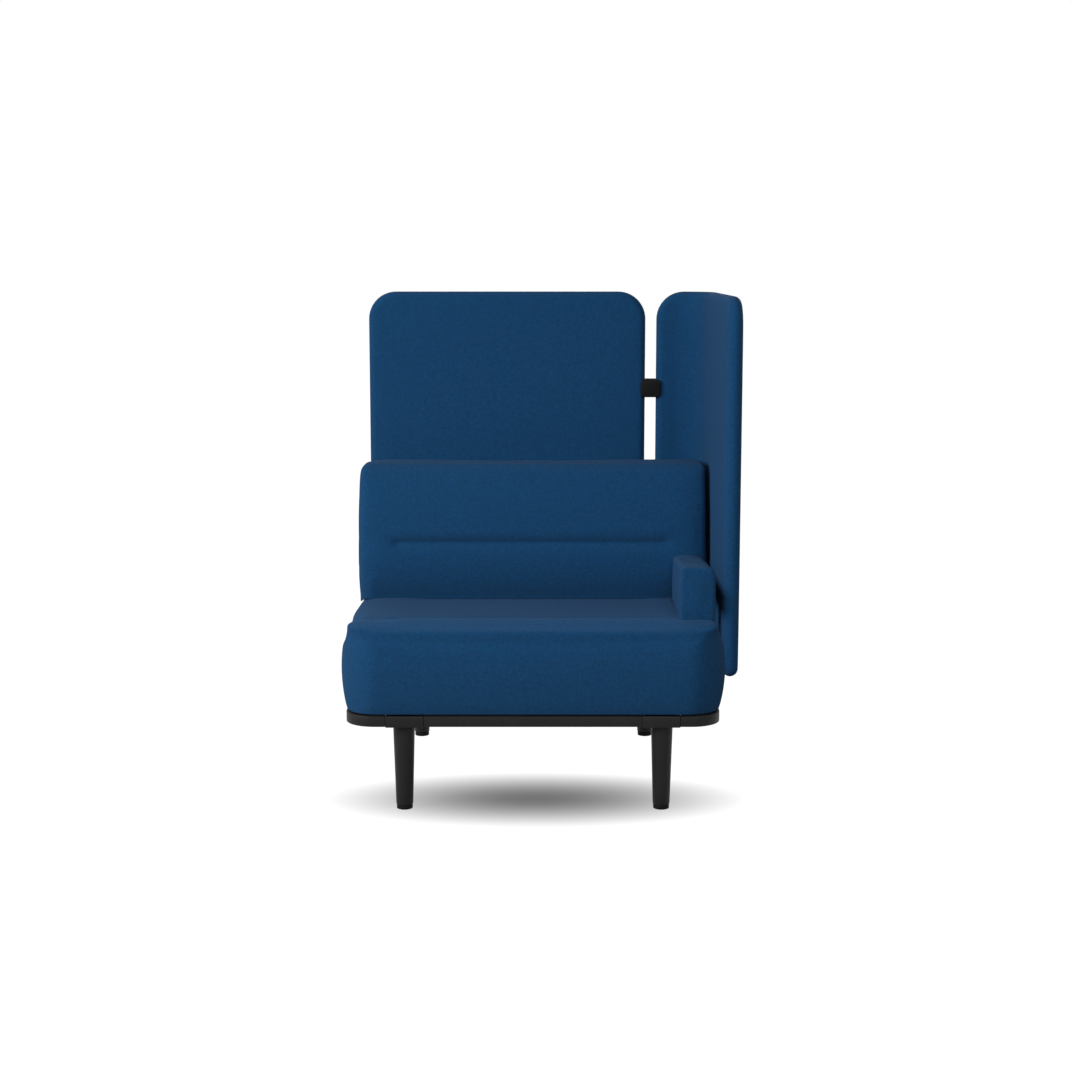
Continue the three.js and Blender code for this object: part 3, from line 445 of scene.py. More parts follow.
class LOUNGE_OT_seat(bpy.types.Operator):
    """Makes the seat cushion, with its front roll and sewn crease"""
    bl_idname = "lounge.seat"
    bl_label = "Seat cushion"

    def execute(self, context):
        sizes = context.scene.lounge_cushions
        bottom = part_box("seat_cover")[0].z
        room = sizes.swell
        half_x, half_y, top = HALF_X - room, HALF_Y - room, sizes.crease_height - room
        seat = block("seat_cushion", MIDDLE + Vector((-half_x, -half_y, bottom - FOOT_SPARE)),
                     MIDDLE + Vector((half_x, half_y, top)))
        soften(seat, [
            (within((Z, top)), sizes.seat_top_radius),
            (running(Z, sizes.plan_radius), sizes.plan_radius),
        ], 8)
        even_mesh(seat, sizes.voxel)

        x, y, z = from_middle(seat)
        up = np.clip((z - bottom) / (top - bottom), 0, 1)
        z = z + up * (seat_top_at(y, sizes) - sizes.crease_height)
        depth, nx, ny = out_of_plan(x, y, half_x, half_y, sizes.plan_radius)
        side = np.clip(up * SEAT_SIDE_REACH, 0, 1)
        out = sizes.seat_bulge * np.sin(SIDE_TURN * np.pi * side) ** SIDE_FULLNESS
        out = out * (1 + RIGHT_FULLNESS * np.clip(x / half_x, 0, 1) ** 2)
        out = out * (1 - np.clip(depth / sizes.plan_radius, 0, 1))
        put_from_middle(seat, x + nx * out, y + ny * out, z)
        swell(seat, room, sizes.pressure, (z < bottom).astype(float))
        fine_skin(seat)

        x, y, z = from_middle(seat)
        upper = fade(seat_top_at(y, sizes) - z, TOP_REACH, TOP_FADE)
        behind = y + HALF_Y - sizes.crease_setback
        lip = np.clip(-behind / sizes.crease_setback, 0, 1)
        along = fade(np.abs(x), sizes.crease_half, CREASE_FADE)
        crease = hump(behind, np.where(behind < 0, CREASE_FRONT_WIDTH, CREASE_REAR_WIDTH))
        roll = hump(behind + ROLL_CREST, ROLL_WIDTH)
        ends = dimples(x, behind * SEAT_DIMPLE_STRETCH, sizes.crease_half)
        panel = fade(np.abs(x), sizes.crease_half - PANEL_FADE / 3, PANEL_FADE)
        panel = panel * np.clip(behind / CREASE_REAR_WIDTH, 0, 1)
        edge = np.clip((np.abs(x) - half_x + SIDE_WIDTH) / SIDE_WIDTH, 0, 1) ** 2
        dip = edge * hump(behind, np.where(behind < 0, END_DIP_WIDTH, SIDE_DIP_WIDTH))
        rise = ROLL_RISE * roll - LIP_FALL * lip ** LIP_CURVE
        fall = sizes.crease_depth * crease * along
        fall = fall + END_DIP * hump(behind, END_DIP_WIDTH) * (1 - along)
        fall = fall + DIMPLE_DEPTH * ends + PANEL_DEPTH * panel + SIDE_DIP * dip
        fall = fall + PRESSED * pressed_at(x, y)
        x = x - np.sign(x) * upper * SIDE_DRAW * dip
        put_from_middle(seat, x, y, z + upper * (rise - fall))
        cut_away(seat, (0, 0, bottom), (0, 0, -1))
        choose(seat, lambda face: len(face.verts) > MANY_SIDES)
        bpy.ops.mesh.inset(thickness=sizes.seat_foot_radius, depth=0)
        bpy.ops.mesh.inset(thickness=COVER_TURN_UNDER, depth=0)
        draw_up(UNDER_RECESS)
        done()
        finish(seat, felted_wool, LOUNGE)
        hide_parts("seat_cover", "seat_foam")
        return {"FINISHED"}


SEAT_SIDE_REACH = 1.16  # the side's swell runs from the foot to below the top edge's round
SIDE_TURN = 0.88  # share of a half turn that the side's swell goes through
RIGHT_FULLNESS = 0.2  # how much fuller the seat's right side is
TOP_REACH = 0.040  # how far down the sides the top's rolls and dips still move the skin
TOP_FADE = 0.050
CREASE_FADE = 0.05  # over which the crease ends
CREASE_FRONT_WIDTH = 0.010
CREASE_REAR_WIDTH = 0.034
ROLL_CREST = 0.034  # crest of the front roll in front of the crease
ROLL_WIDTH = 0.030
ROLL_RISE = 0.006
LIP_FALL = 0.011  # of the front roll's top, towards its front edge
LIP_CURVE = 1.5
END_DIP = 0.006  # how far the seat's top dips at its sides, in line with the crease
END_DIP_WIDTH = 0.035
SIDE_WIDTH = 0.045
SIDE_DIP = 0.007  # how far the crease's ends draw the seat's sides down
SIDE_DIP_WIDTH = 0.110
SIDE_DRAW = 0.009  # how far the crease's ends draw the sides in
PRESSED = 0.007  # how far the back and the arm press the seat's padding in
SIDE_FULLNESS = 0.75  # below 1 the sides swell more evenly from the foot up
DIMPLE_WIDTH = 0.017
DIMPLE_DEPTH = 0.003
SEAT_DIMPLE_STRETCH = 1.4  # above 1 the dimples are longer along the seam than across it
PANEL_FADE = 0.09
PANEL_DEPTH = 0.003
COVER_TURN_UNDER = 0.045
UNDER_RECESS = 0.003
FOOT_SPARE = 0.016  # modelled below a cushion's foot and cut off, so that its edge stays crisp
MANY_SIDES = 12  # a cut's closing face has more sides than any other

# The back's front face from its foot up: shares of its height, and of its lean
BACK_PROFILE = [
    (0, 0.4), (0.06, 0.25), (0.136, 0.105), (0.2, 0.035), (0.26, 0), (0.33, 0.015), (0.39, 0.07),
    (0.45, 0.13), (0.53, 0.17), (0.575, 0.2), (0.65, 0.277), (0.755, 0.446), (0.876, 0.69),
    (0.95, 0.86), (1, 0.97),
]
PROFILE_STEPS = 101
PROFILE_BLUR = 3  # steps on each side that a step is averaged with
BACK_CORNER_RADIUS = 0.127  # rear right corner in plan, inside the corner screen's bend
BACK_FRONT_RADIUS = 0.024
BACK_REAR_RADIUS = 0.030
BACK_LEFT_RADIUS = 0.021
BACK_RIGHT_RADIUS = 0.012
BACK_END_BULGE = 0.002
BACK_END_REACH = 0.04  # how far in from the back's left end the bulge reaches
BACK_DIMPLE_STRETCH = 1.2
BACK_LEFT_SPARE = 0.0045  # cut longer at its ends, as swelling draws them in
BACK_RIGHT_SPARE = 0.0065
VALLEY_WIDTH = 0.014
UPPER_ROLL = 0.030  # crest of the padding above the valley
VALLEY_FADE = 0.05
VALLEY_REACH = 0.06  # how far behind the back's front the valley still draws the skin in
VALLEY_SHARPNESS = 0.4  # share of the valley's depth that is in a groove half as wide
VALLEY_ROLL_RISE = 0.002


class LOUNGE_OT_back(bpy.types.Operator):
    """Makes the wedge-shaped back cushion, with its lower roll and sewn valley"""
    bl_idname = "lounge.back"
    bl_label = "Back cushion"

    def execute(self, context):
        sizes = context.scene.lounge_cushions
        low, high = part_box("back_cover")
        room = sizes.swell
        front, rear = low.y - MIDDLE.y, high.y - MIDDLE.y
        foot = seat_top_at(front, sizes) - SUNK
        left, right = low.x + room - BACK_LEFT_SPARE, high.x - room + BACK_RIGHT_SPARE
        near, far, top = low.y + room, high.y - room, high.z - room
        under = foot - FOOT_SPARE - SEAT_SLOPE * (rear - front)
        back = block("back_cushion", (left, near, under), (right, far, top))
        soften(back, [
            (within((Z, under)), 0),
            (within((X, left)), BACK_LEFT_RADIUS),
            (within((X, right), (Y, far)), BACK_CORNER_RADIUS),
            (within((X, right)), BACK_RIGHT_RADIUS),
            (within((Y, near)), BACK_FRONT_RADIUS),
            (within((Y, far)), BACK_REAR_RADIUS),
        ], 8)
        even_mesh(back, sizes.voxel)

        x, y, z = from_middle(back)
        up = np.clip((z - foot) / (top - foot), 0, 1)
        behind = np.clip((y - front) / (rear - front), 0, 1)
        steps = np.linspace(0, 1, PROFILE_STEPS)
        profile = np.pad(np.interp(steps, *zip(*BACK_PROFILE)), PROFILE_BLUR, mode="edge")
        blur = 2 * PROFILE_BLUR + 1
        profile = np.convolve(profile, np.ones(blur) / blur, mode="valid")
        lean = sizes.back_lean * np.interp(up, steps, profile)
        fall = BACK_TOP_SLOPE * np.clip(y - front - sizes.back_lean - BACK_FRONT_RADIUS, 0, None)
        z = z - up * fall
        at_left = 1 - np.clip((x + MIDDLE.x - left) / BACK_END_REACH, 0, 1)
        x = x - at_left * BACK_END_BULGE * np.sin(np.pi * up)
        put_from_middle(back, x, y + lean * (1 - behind), z)
        swell(back, room, sizes.pressure, (z < under + FOOT_SPARE / 2).astype(float))
        fine_skin(back)

        x, y, z = from_middle(back)
        above = z - (foot + sizes.valley_height)
        in_front = 1 - np.clip((y - front - VALLEY_REACH) / VALLEY_REACH, 0, 1)
        along = fade(np.abs(x - VALLEY_SHIFT), sizes.valley_half, VALLEY_FADE) * in_front
        valley = (1 - VALLEY_SHARPNESS) * hump(above, VALLEY_WIDTH)
        valley = valley + VALLEY_SHARPNESS * hump(above, VALLEY_WIDTH / 2)
        roll = hump(above - UPPER_ROLL, VALLEY_WIDTH)
        ends = in_front * dimples(x - VALLEY_SHIFT, above * BACK_DIMPLE_STRETCH, sizes.valley_half)
        y = y + sizes.valley_depth * valley * along - VALLEY_ROLL_RISE * roll * along
        put_from_middle(back, x, y + DIMPLE_DEPTH * ends, z)
        cut_away(back, (0, low.y, foot), (0, -SEAT_SLOPE, -1))
        x, y, z = from_middle(back)
        over = np.clip((BACK_SAG_WIDTH - (x + MIDDLE.x - low.x)) / BACK_SAG_WIDTH, 0, 1)
        near_foot = 1 - np.clip((z - foot + SEAT_SLOPE * (y - front)) / (3 * BACK_SAG_WIDTH), 0, 1)
        put_from_middle(back, x, y, z - BACK_SAG * over ** 2 * near_foot)

        finish(back, felted_wool, LOUNGE)
        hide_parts("back_cover", "back_foam")
        return {"FINISHED"}


FIT = 0.3 * MM  # between pieces that touch
SUNK = 0.005  # how far the foot of a cushion lies below the seat's top
BACK_SAG = 0.009  # how far the back's left end hangs down over the seat's rounded side
BACK_SAG_WIDTH = 0.016
VALLEY_SHIFT = -0.005  # middle of the valley from the middle of the base
ARM_OUTER_RADIUS = 0.020
ARM_INNER_RADIUS = 0.008
ARM_END_RADIUS = 0.004
ARM_SUNK = 0.010
ARM_SIDE_REACH = 1.1  # the sides' bulge runs from the foot to below the top
ARM_HELD = 2 * MM  # the arm's rear end, which stays flat against the back
ARM_ROOM_SHARE = 0.6  # the arm's room to swell and its cells, as shares of the large cushions'
ARM_VOXEL_SHARE = 0.6


class LOUNGE_OT_arm(bpy.types.Operator):
    """Makes the armrest, with its foot tucked in on the seat"""
    bl_idname = "lounge.arm"
    bl_label = "Armrest"

    def execute(self, context):
        sizes = context.scene.lounge_cushions
        low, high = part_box("arm_cover")
        room = sizes.swell * ARM_ROOM_SHARE
        front = low.y - MIDDLE.y
        foot, top = seat_top_at(front, sizes) - ARM_SUNK, high.z - room
        left, right = low.x + sizes.arm_bulge + room, high.x - sizes.arm_bulge - room
        near, far = low.y + room, high.y - FIT
        under = foot - FOOT_SPARE
        arm = block("armrest", (left, near, under), (right, far, top))
        soften(arm, [
            (within((Y, far)), 0),
            (within((Z, under)), 0),
            (within((Z, top), (X, right)), ARM_OUTER_RADIUS),
            (within((Z, top), (X, left)), ARM_INNER_RADIUS),
            (within((Y, near)), ARM_END_RADIUS),
        ], 6)
        even_mesh(arm, sizes.voxel * ARM_VOXEL_SHARE)

        x, y, z = from_middle(arm)
        up = np.clip((z - foot) / (top - foot), 0, 1)
        z = z - (1 - up) * SEAT_SLOPE * (y - front) - up * ARM_SLOPE * (y - front)
        across = (x - (left + right) / 2 + MIDDLE.x) / ((right - left) / 2)
        x = x + sizes.arm_bulge * across * np.sin(np.pi * np.clip(up * ARM_SIDE_REACH, 0, 1))
        x = x + sizes.arm_turn * np.clip((y - front) / (high.y - low.y), 0, 1)
        put_from_middle(arm, x, y, z)
        held = (y > far - MIDDLE.y - ARM_HELD).astype(float)
        swell(arm, room, sizes.pressure / ARM_VOXEL_SHARE ** 2, held)
        fine_skin(arm)
        cut_away(arm, (0, low.y, foot), (0, -SEAT_SLOPE, -1))

        finish(arm, felted_wool, LOUNGE)
        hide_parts("arm_cover", "arm_foam")
        return {"FINISHED"}


# Screens

def flat_screen(name, left, wide, sizes):
    """A padded board in the back screen's plane, from its left end, with rounded edges."""
    low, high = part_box("back_screen_sleeve")
    screen = block(name, (left, low.y, low.z), (left + wide, high.y, high.z))
    soften(screen, [
        (within((Z, high.z), (X, left)), sizes.corner_radius),
        (within((Z, high.z), (X, left + wide)), sizes.corner_radius),
        (running(Y, sizes.edge_radius), sizes.foot_radius),
    ], 14)
    soften(screen, [(within((Y, face)), sizes.edge_radius) for face in (low.y, high.y)], 6)
    return screen


def crown(screen, left, wide, sizes):
    """Raises the middle of both faces a little, as padding under a stretched cover does."""
    low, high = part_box("back_screen_sleeve")
    places = points(screen)
    along = np.clip((places[:, X] - left) / wide, 0, 1)
    up = np.clip((places[:, Z] - low.z) / (high.z - low.z), 0, 1)
    rise = (1 - (2 * along - 1) ** CROWN_EVENNESS) * (1 - (2 * up - 1) ** CROWN_EVENNESS)
    mid = (low.y + high.y) / 2
    away = (places[:, Y] - mid) / (high.y - mid)
    places[:, Y] += sizes.crown * rise * away
    put_points(screen, places)


CROWN_EVENNESS = 6  # even; the higher, the nearer to the edges the padding reaches its full height


def evenly(start, reach, cell):
    """Places that part a length into even cells, without its ends."""
    count = round(reach / cell)
    return [start + reach * (i + 1) / (count + 1) for i in range(count)]


def grid_cuts(screen, xs, sizes):
    """Cuts a screen's faces across at the given places, and at even heights."""
    low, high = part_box("back_screen_sleeve")
    heights = evenly(low.z, high.z - low.z, sizes.cell)
    cut_across(screen, [(x, low.y, low.z) for x in xs], (1, 0, 0))
    cut_across(screen, [(low.x, low.y, z) for z in heights], (0, 0, 1))


class LOUNGE_OT_back_screen(bpy.types.Operator):
    """Makes the flat padded screen behind the back"""
    bl_idname = "lounge.back_screen"
    bl_label = "Back screen"

    def execute(self, context):
        sizes = context.scene.lounge_screens
        low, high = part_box("back_screen_sleeve")
        wide = high.x - low.x
        screen = flat_screen("back_screen", low.x, wide, sizes)
        grid_cuts(screen, evenly(low.x, wide, sizes.cell), sizes)
        crown(screen, low.x, wide, sizes)
        smooth(screen, 40)
        finish(screen, felted_wool, LOUNGE)
        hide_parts("back_screen_sleeve")
        return {"FINISHED"}


BEND_CUTS = 28  # across the corner screen's bend


class LOUNGE_OT_corner_screen(bpy.types.Operator):
    """Makes the bent padded screen round the rear right corner"""
    bl_idname = "lounge.corner_screen"
    bl_label = "Corner screen"

    def execute(self, context):
        sizes = context.scene.lounge_screens
        low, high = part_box("corner_screen_sleeve")
        flat_low, flat_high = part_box("back_screen_sleeve")
        thick = flat_high.y - flat_low.y
        radius = sizes.bend_radius + thick / 2
        centre = Vector((high.x - thick / 2 - radius, high.y - thick / 2 - radius, 0))
        before, bend, after = centre.x - low.x, radius * math.pi / 2, centre.y - low.y
        wide = before + bend + after
        screen = flat_screen("corner_screen", low.x, wide, sizes)
        stations = [low.x + before + bend * i / BEND_CUTS for i in range(BEND_CUTS + 1)]
        grid_cuts(screen, stations + evenly(low.x + before + bend, after, sizes.cell), sizes)
        crown(screen, low.x, wide, sizes)

        places = points(screen)
        along, away = places[:, X] - low.x, places[:, Y] - (flat_low.y + flat_high.y) / 2
        turn = np.clip((along - before) / radius, 0, math.pi / 2)
        past = np.clip(along - before - bend, 0, None)
        short = np.clip(before - along, 0, None)
        places[:, X] = centre.x + (radius + away) * np.sin(turn) - short
        places[:, Y] = centre.y + (radius + away) * np.cos(turn) - past
        put_points(screen, places)
        outward_again(screen)
        smooth(screen, 40)
        finish(screen, felted_wool, LOUNGE)
        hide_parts("corner_screen_sleeve")
        return {"FINISHED"}


# Rim, brackets and legs

class LOUNGE_OT_rim(bpy.types.Operator):
    """Makes the four pieces of the rim and the leg brackets between them"""
    bl_idname = "lounge.rim"
    bl_label = "Rim and leg brackets"

    def execute(self, context):
        sizes = context.scene.lounge_frame
        radius = context.scene.lounge_cushions.plan_radius
        low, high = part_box("rail_left")
        ring = block("rim_ring", (RIM_LEFT, RIM_FRONT, low.z), (RIM_RIGHT, RIM_REAR, high.z))
        soften(ring, [(running(Z, sizes.rim_depth / 2), radius)], 24)
        choose(ring, lambda face: abs(face.normal.z) > LEVEL)
        bpy.ops.mesh.delete(type="FACE")
        done()
        outward_again(ring)
        apply_modifier(ring, "SOLIDIFY", thickness=sizes.rim_depth, offset=-1, use_even_offset=True)
        round_all(ring, sizes.rim_edge, 3, 60)
        for name in ("rail_left", "rail_right", "rail_front", "rail_rear"):
            end_low, end_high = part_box(name)
            rail = copy_of(ring, name + "_tube")
            if name != "rail_right":
                cut_away(rail, (end_high.x, 0, 0), (1, 0, 0))
            if name != "rail_left":
                cut_away(rail, (end_low.x, 0, 0), (-1, 0, 0))
            if name in ("rail_front", "rail_rear"):
                cut_away(rail, MIDDLE, (0, 1 if name == "rail_front" else -1, 0))
            outward_again(rail)
            smooth(rail, 30)
            finish(rail, powder_coated_steel, LOUNGE)
            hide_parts(name)
        bpy.data.objects.remove(ring)

        for corner in CORNERS:
            node = "leg_bracket_" + corner
            low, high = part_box(node)
            bracket = block(node + "_casting", low, high)
            choose(bracket, upward)
            bpy.ops.mesh.inset(thickness=BRACKET_WALL, depth=0)
            draw_up(BRACKET_FLOOR - (high.z - low.z))
            done()
            round_all(bracket, sizes.bracket_edge, 3)
            smooth(bracket, 30)
            finish(bracket, powder_coated_steel, LOUNGE)
            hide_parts(node)
        return {"FINISHED"}


BRACKET_WALL = 0.008
BRACKET_FLOOR = 0.008


def turned(name, place, steps, sides=64):
    """A round piece on an upright axis, drawn up from its foot by (radius, height) steps."""
    radius, height = steps[0]
    piece = begin(name, bpy.ops.mesh.primitive_circle_add, vertices=sides, radius=radius,
                  fill_type="NGON", location=(*place, height))
    choose(piece, lambda face: True)
    for next_radius, next_height in steps[1:]:
        draw_up(next_height - height)
        bpy.ops.transform.resize(value=(next_radius / radius, next_radius / radius, 1),
                                 center_override=(*place, next_height))
        radius, height = next_radius, next_height
    done()
    outward_again(piece)
    return piece


def rounded_steps(steps, edge):
    """Takes the sharp corner off both ends of a turned piece's steps."""
    (r0, z0), (r1, z1) = steps[0], steps[-1]
    turn = 1 - math.cos(math.pi / 4)
    start = [(r0 - edge, z0), (r0 - edge * turn, z0 + edge * turn), (r0, z0 + edge)]
    end = [(r1, z1 - edge), (r1 - edge * turn, z1 - edge * turn), (r1 - edge, z1)]
    return start + steps[1:-1] + end


class LOUNGE_OT_legs(bpy.types.Operator):
    """Makes the four tapered legs and their levelling glides"""
    bl_idname = "lounge.legs"
    bl_label = "Legs and glides"

    def execute(self, context):
        sizes = context.scene.lounge_frame
        for corner in CORNERS:
            low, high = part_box("leg_" + corner)
            place = ((low.x + high.x) / 2, (low.y + high.y) / 2)
            wide = (high.x - low.x) / 2
            foot = wide * LEG_FOOT_SHARE
            shoulder = high.z - sizes.leg_shoulder
            steps = [(foot, low.z), (wide, shoulder), (wide, high.z)]
            leg = turned("leg_turning_" + corner, place, rounded_steps(steps, sizes.leg_edge))
            smooth(leg, 40)
            finish(leg, powder_coated_steel, LOUNGE)
            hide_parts("leg_" + corner)

            low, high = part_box("glide_pad_" + corner)
            wide = (high.x - low.x) / 2
            steps = rounded_steps([(wide, low.z), (wide, high.z)], PAD_EDGE)
            pad = turned("glide_foot_" + corner, place, steps)
            smooth(pad, 40)
            finish(pad, moulded_nylon, "glide_" + corner)
            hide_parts("glide_pad_" + corner)

            low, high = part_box("glide_stud_" + corner)
            steps = thread_steps((high.x - low.x) / 2, low.z, high.z)
            stud = turned("glide_screw_" + corner, place, steps, 24)
            smooth(stud, 50)
            finish(stud, zinc_plated_steel, "glide_" + corner)
            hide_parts("glide_stud_" + corner)
        return {"FINISHED"}


LEG_FOOT_SHARE = 41 / 52  # a leg's width at its foot, as a share of its width at its shoulder
PAD_EDGE = 0.0014
THREAD_PITCH = 0.0015
THREAD_DEPTH = 0.0009


def thread_steps(radius, bottom, top):
    """Steps of a threaded rod, drawn as close rings, which is how its thread looks at this size."""
    turns = int((top - bottom) / THREAD_PITCH)
    steps = [(radius - THREAD_DEPTH, bottom)]
    for turn in range(turns):
        steps.append((radius, bottom + (turn + 0.5) * THREAD_PITCH))
        steps.append((radius - THREAD_DEPTH, bottom + (turn + 1) * THREAD_PITCH))
    return steps


class LOUNGE_OT_screen_brackets(bpy.types.Operator):
    """Makes the bent steel plates that carry the screens"""
    bl_idname = "lounge.screen_brackets"
    bl_label = "Screen brackets"

    def execute(self, context):
        sizes = context.scene.lounge_frame
        for node, outward in SCREEN_BRACKETS.items():
            low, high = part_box(node)
            plate = block(node + "_plate", low, (high.x, high.y, low.z + PLATE_THICKNESS))
            axis = X if outward.x else Y
            edge = high[axis] - PLATE_THICKNESS
            cut_across(plate, [outward * edge], outward)
            choose(plate, lambda face: upward(face) and face.calc_center_median()[axis] > edge)
            draw_up(high.z - low.z - PLATE_THICKNESS)
            done()
            soften(plate, [(within((axis, high[axis]), (Z, low.z)), BEND_OUTER_RADIUS)], 5)
            round_all(plate, sizes.plate_edge, 2)
            smooth(plate, 30)
            finish(plate, powder_coated_steel, LOUNGE)
            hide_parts(node)
        return {"FINISHED"}


PLATE_THICKNESS = 0.004
BEND_OUTER_RADIUS = 0.005
SCREEN_BRACKETS = {  # and the way that each one's upright leaf faces
    "back_screen_bracket_left": Vector((0, 1, 0)), "back_screen_bracket_right": Vector((0, 1, 0)),
    "side_screen_bracket_front": Vector((1, 0, 0)), "side_screen_bracket_rear": Vector((1, 0, 0)),
}


class LOUNGE_OT_clip(bpy.types.Operator):
    """Makes the clip that ties the two screens together"""
    bl_idname = "lounge.clip"
    bl_label = "Clip"

    def execute(self, context):
        sizes = context.scene.lounge_frame
        for node, face in (("clip_front", -1), ("clip_rear", 1)):
            low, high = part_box(node)
            rear = low.y + CLIP_THICKNESS if face < 0 else high.y
            plate = block(node + "_plate", (low.x, low.y, low.z), (high.x, rear, high.z))
            soften(plate, [(running(Y, CLIP_THICKNESS / 2), sizes.clip_radius)], 10)
            outer = low.y if face < 0 else high.y
            soften(plate, [(within((Y, outer)), sizes.clip_edge)], 4)
            if face < 0:
                middle = (low + high) / 2
                half_x, half_z = CLIP_NECK_WIDTH / 2, CLIP_NECK_HEIGHT / 2
                neck = block("clip_neck", (middle.x - half_x, rear - MM, middle.z - half_z),
                             (middle.x + half_x, high.y, middle.z + half_z))
                apply_modifier(plate, "BOOLEAN", operation="UNION", object=neck, solver="EXACT")
                bpy.data.objects.remove(neck)
            outward_again(plate)
            smooth(plate, 35)
            finish(plate, moulded_nylon, LOUNGE)
            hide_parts(node)
        return {"FINISHED"}


CLIP_THICKNESS = 0.006
CLIP_NECK_WIDTH = 0.0294
CLIP_NECK_HEIGHT = 0.024


# Finishes

def finish(piece, make, body):
    """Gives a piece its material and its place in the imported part."""
    wear(piece, make)
    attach(piece, body)


def wear(piece, make):
    """Gives a piece one material, made when the first piece asks for it and named as its
    function is. That function takes the tree and its object coordinates, and returns the
    last shader."""
    material = bpy.data.materials.get(make.__name__)
    if material is None:
        material = bpy.data.materials.new(make.__name__)
        material.use_nodes = True
        tree = material.node_tree
        tree.nodes.clear()
        at = add_node(tree, "TexCoord", out="Object")
        add_node(tree, "OutputMaterial", {"Surface": make(tree, at)})
    piece.data.materials.clear()
    piece.data.materials.append(material)


def add_node(tree, kind, sockets=None, out=0, **settings):
    """Adds a shader node with its own settings, and its sockets set to values or linked to
    other nodes' outputs. Returns the output that is asked for."""
    made = tree.nodes.new("ShaderNode" + kind)
    for name, value in settings.items():
        setattr(made, name, value)
    for name, value in (sockets or {}).items():
        socket = made.inputs[name]
        if isinstance(value, bpy.types.NodeSocket):
            tree.links.new(value, socket)
        elif socket.type == "RGBA":
            socket.default_value = (*value, 1)
        else:
            socket.default_value = value
    return made.outputs[out] if made.outputs else None


def patchy(tree, noise, tone, low, high):
    """A colour that a noise makes darker and paler in patches, by shares from low to high."""
    share = add_node(tree, "MapRange", {0: noise, 1: 0.3, 2: 0.7, 3: low, 4: high})
    return add_node(tree, "VectorMath", {0: tone, "Scale": share}, operation="SCALE")


def felted_wool(tree, at):
    """Felted wool cloth: woven of thick yarn, milled until a short nap covers the weave, and
    piece-dyed. It looks matt and deep from the front, with a soft mottle where the nap lies
    unevenly, and pales to grey at a glancing angle. The yarns lie 1.6 mm apart, too fine for
    the render, so their grid is drawn at 3.2 mm."""
    colours = bpy.context.scene.lounge_colours
    nap = add_node(tree, "TexNoise", {
        "Vector": at, "Scale": 1 / (8 * MM), "Detail": 2.0, "Roughness": 0.6})
    fibre = add_node(tree, "TexNoise", {
        "Vector": at, "Scale": 1 / (4 * MM), "Detail": 1.0, "Roughness": 0.6})

    # The yarns' grid is drawn on each face along the two axes that it doesn't look along
    rate = (2 * math.pi / (3.2 * MM),) * 3
    grid = add_node(tree, "VectorMath", {0: at, 1: rate}, operation="MULTIPLY")
    parts = add_node(tree, "SeparateXYZ", {0: grid}).node.outputs
    waves = [add_node(tree, "Math", {0: part}, operation="SINE") for part in parts]
    normal = add_node(tree, "TexCoord", out="Normal")
    facing = add_node(tree, "VectorMath", {0: normal, 1: normal}, operation="MULTIPLY")
    shares = add_node(tree, "SeparateXYZ", {0: facing}).node.outputs
    yarn = 0.0
    for axis, (a, b) in enumerate(((1, 2), (0, 2), (0, 1))):
        crossing = add_node(tree, "Math", {0: waves[a], 1: waves[b]}, operation="MULTIPLY")
        yarn = add_node(tree, "Math", {0: crossing, 1: shares[axis], 2: yarn},
                        operation="MULTIPLY_ADD")

    mottle = add_node(tree, "Math", {0: nap, 1: fibre}, operation="ADD")
    mixed = add_node(tree, "MapRange", {0: mottle, 1: 0.6, 2: 1.4, 3: 0.0, 4: 1.0})
    tint = add_node(tree, "Mix", {0: mixed, 6: colours.wool_dark, 7: colours.wool}, out=2,
                    data_type="RGBA")
    yarn_tone = add_node(tree, "MapRange", {0: yarn, 1: -1.0, 2: 1.0, 3: 0.93, 4: 1.07})
    toned = add_node(tree, "VectorMath", {0: tint, "Scale": yarn_tone}, operation="SCALE")

    height = add_node(tree, "Math", {0: yarn, 1: 0.35, 2: fibre}, operation="MULTIPLY_ADD")
    bump = add_node(tree, "Bump", {"Height": height, "Distance": 0.5 * MM, "Strength": 0.6})
    return add_node(tree, "BsdfPrincipled", {
        "Base Color": toned, "Roughness": 0.95, "Specular IOR Level": 0.05, "Sheen Weight": 0.13,
        "Sheen Roughness": 0.85, "Sheen Tint": colours.wool_pale, "Normal": bump})


def powder_coated_steel(tree, at):
    """Powder-coated steel: black polyester powder, baked on, with a fine orange peel that
    softens every highlight and a slightly duller, paler bloom in patches."""
    peel = add_node(tree, "TexNoise", {"Vector": at, "Scale": 1 / (1.4 * MM), "Detail": 2.0})
    bloom = add_node(tree, "TexNoise", {"Vector": at, "Scale": 1 / (60 * MM), "Detail": 4.0})
    rough = add_node(tree, "MapRange", {0: bloom, 1: 0.3, 2: 0.7, 3: 0.44, 4: 0.56})
    return add_node(tree, "BsdfPrincipled", {
        "Base Color": patchy(tree, bloom, bpy.context.scene.lounge_colours.coat, 0.85, 1.2),
        "Roughness": rough, "Specular IOR Level": 0.16,
        "Normal": add_node(tree, "Bump", {"Height": peel, "Distance": 0.12 * MM, "Strength": 0.5})})


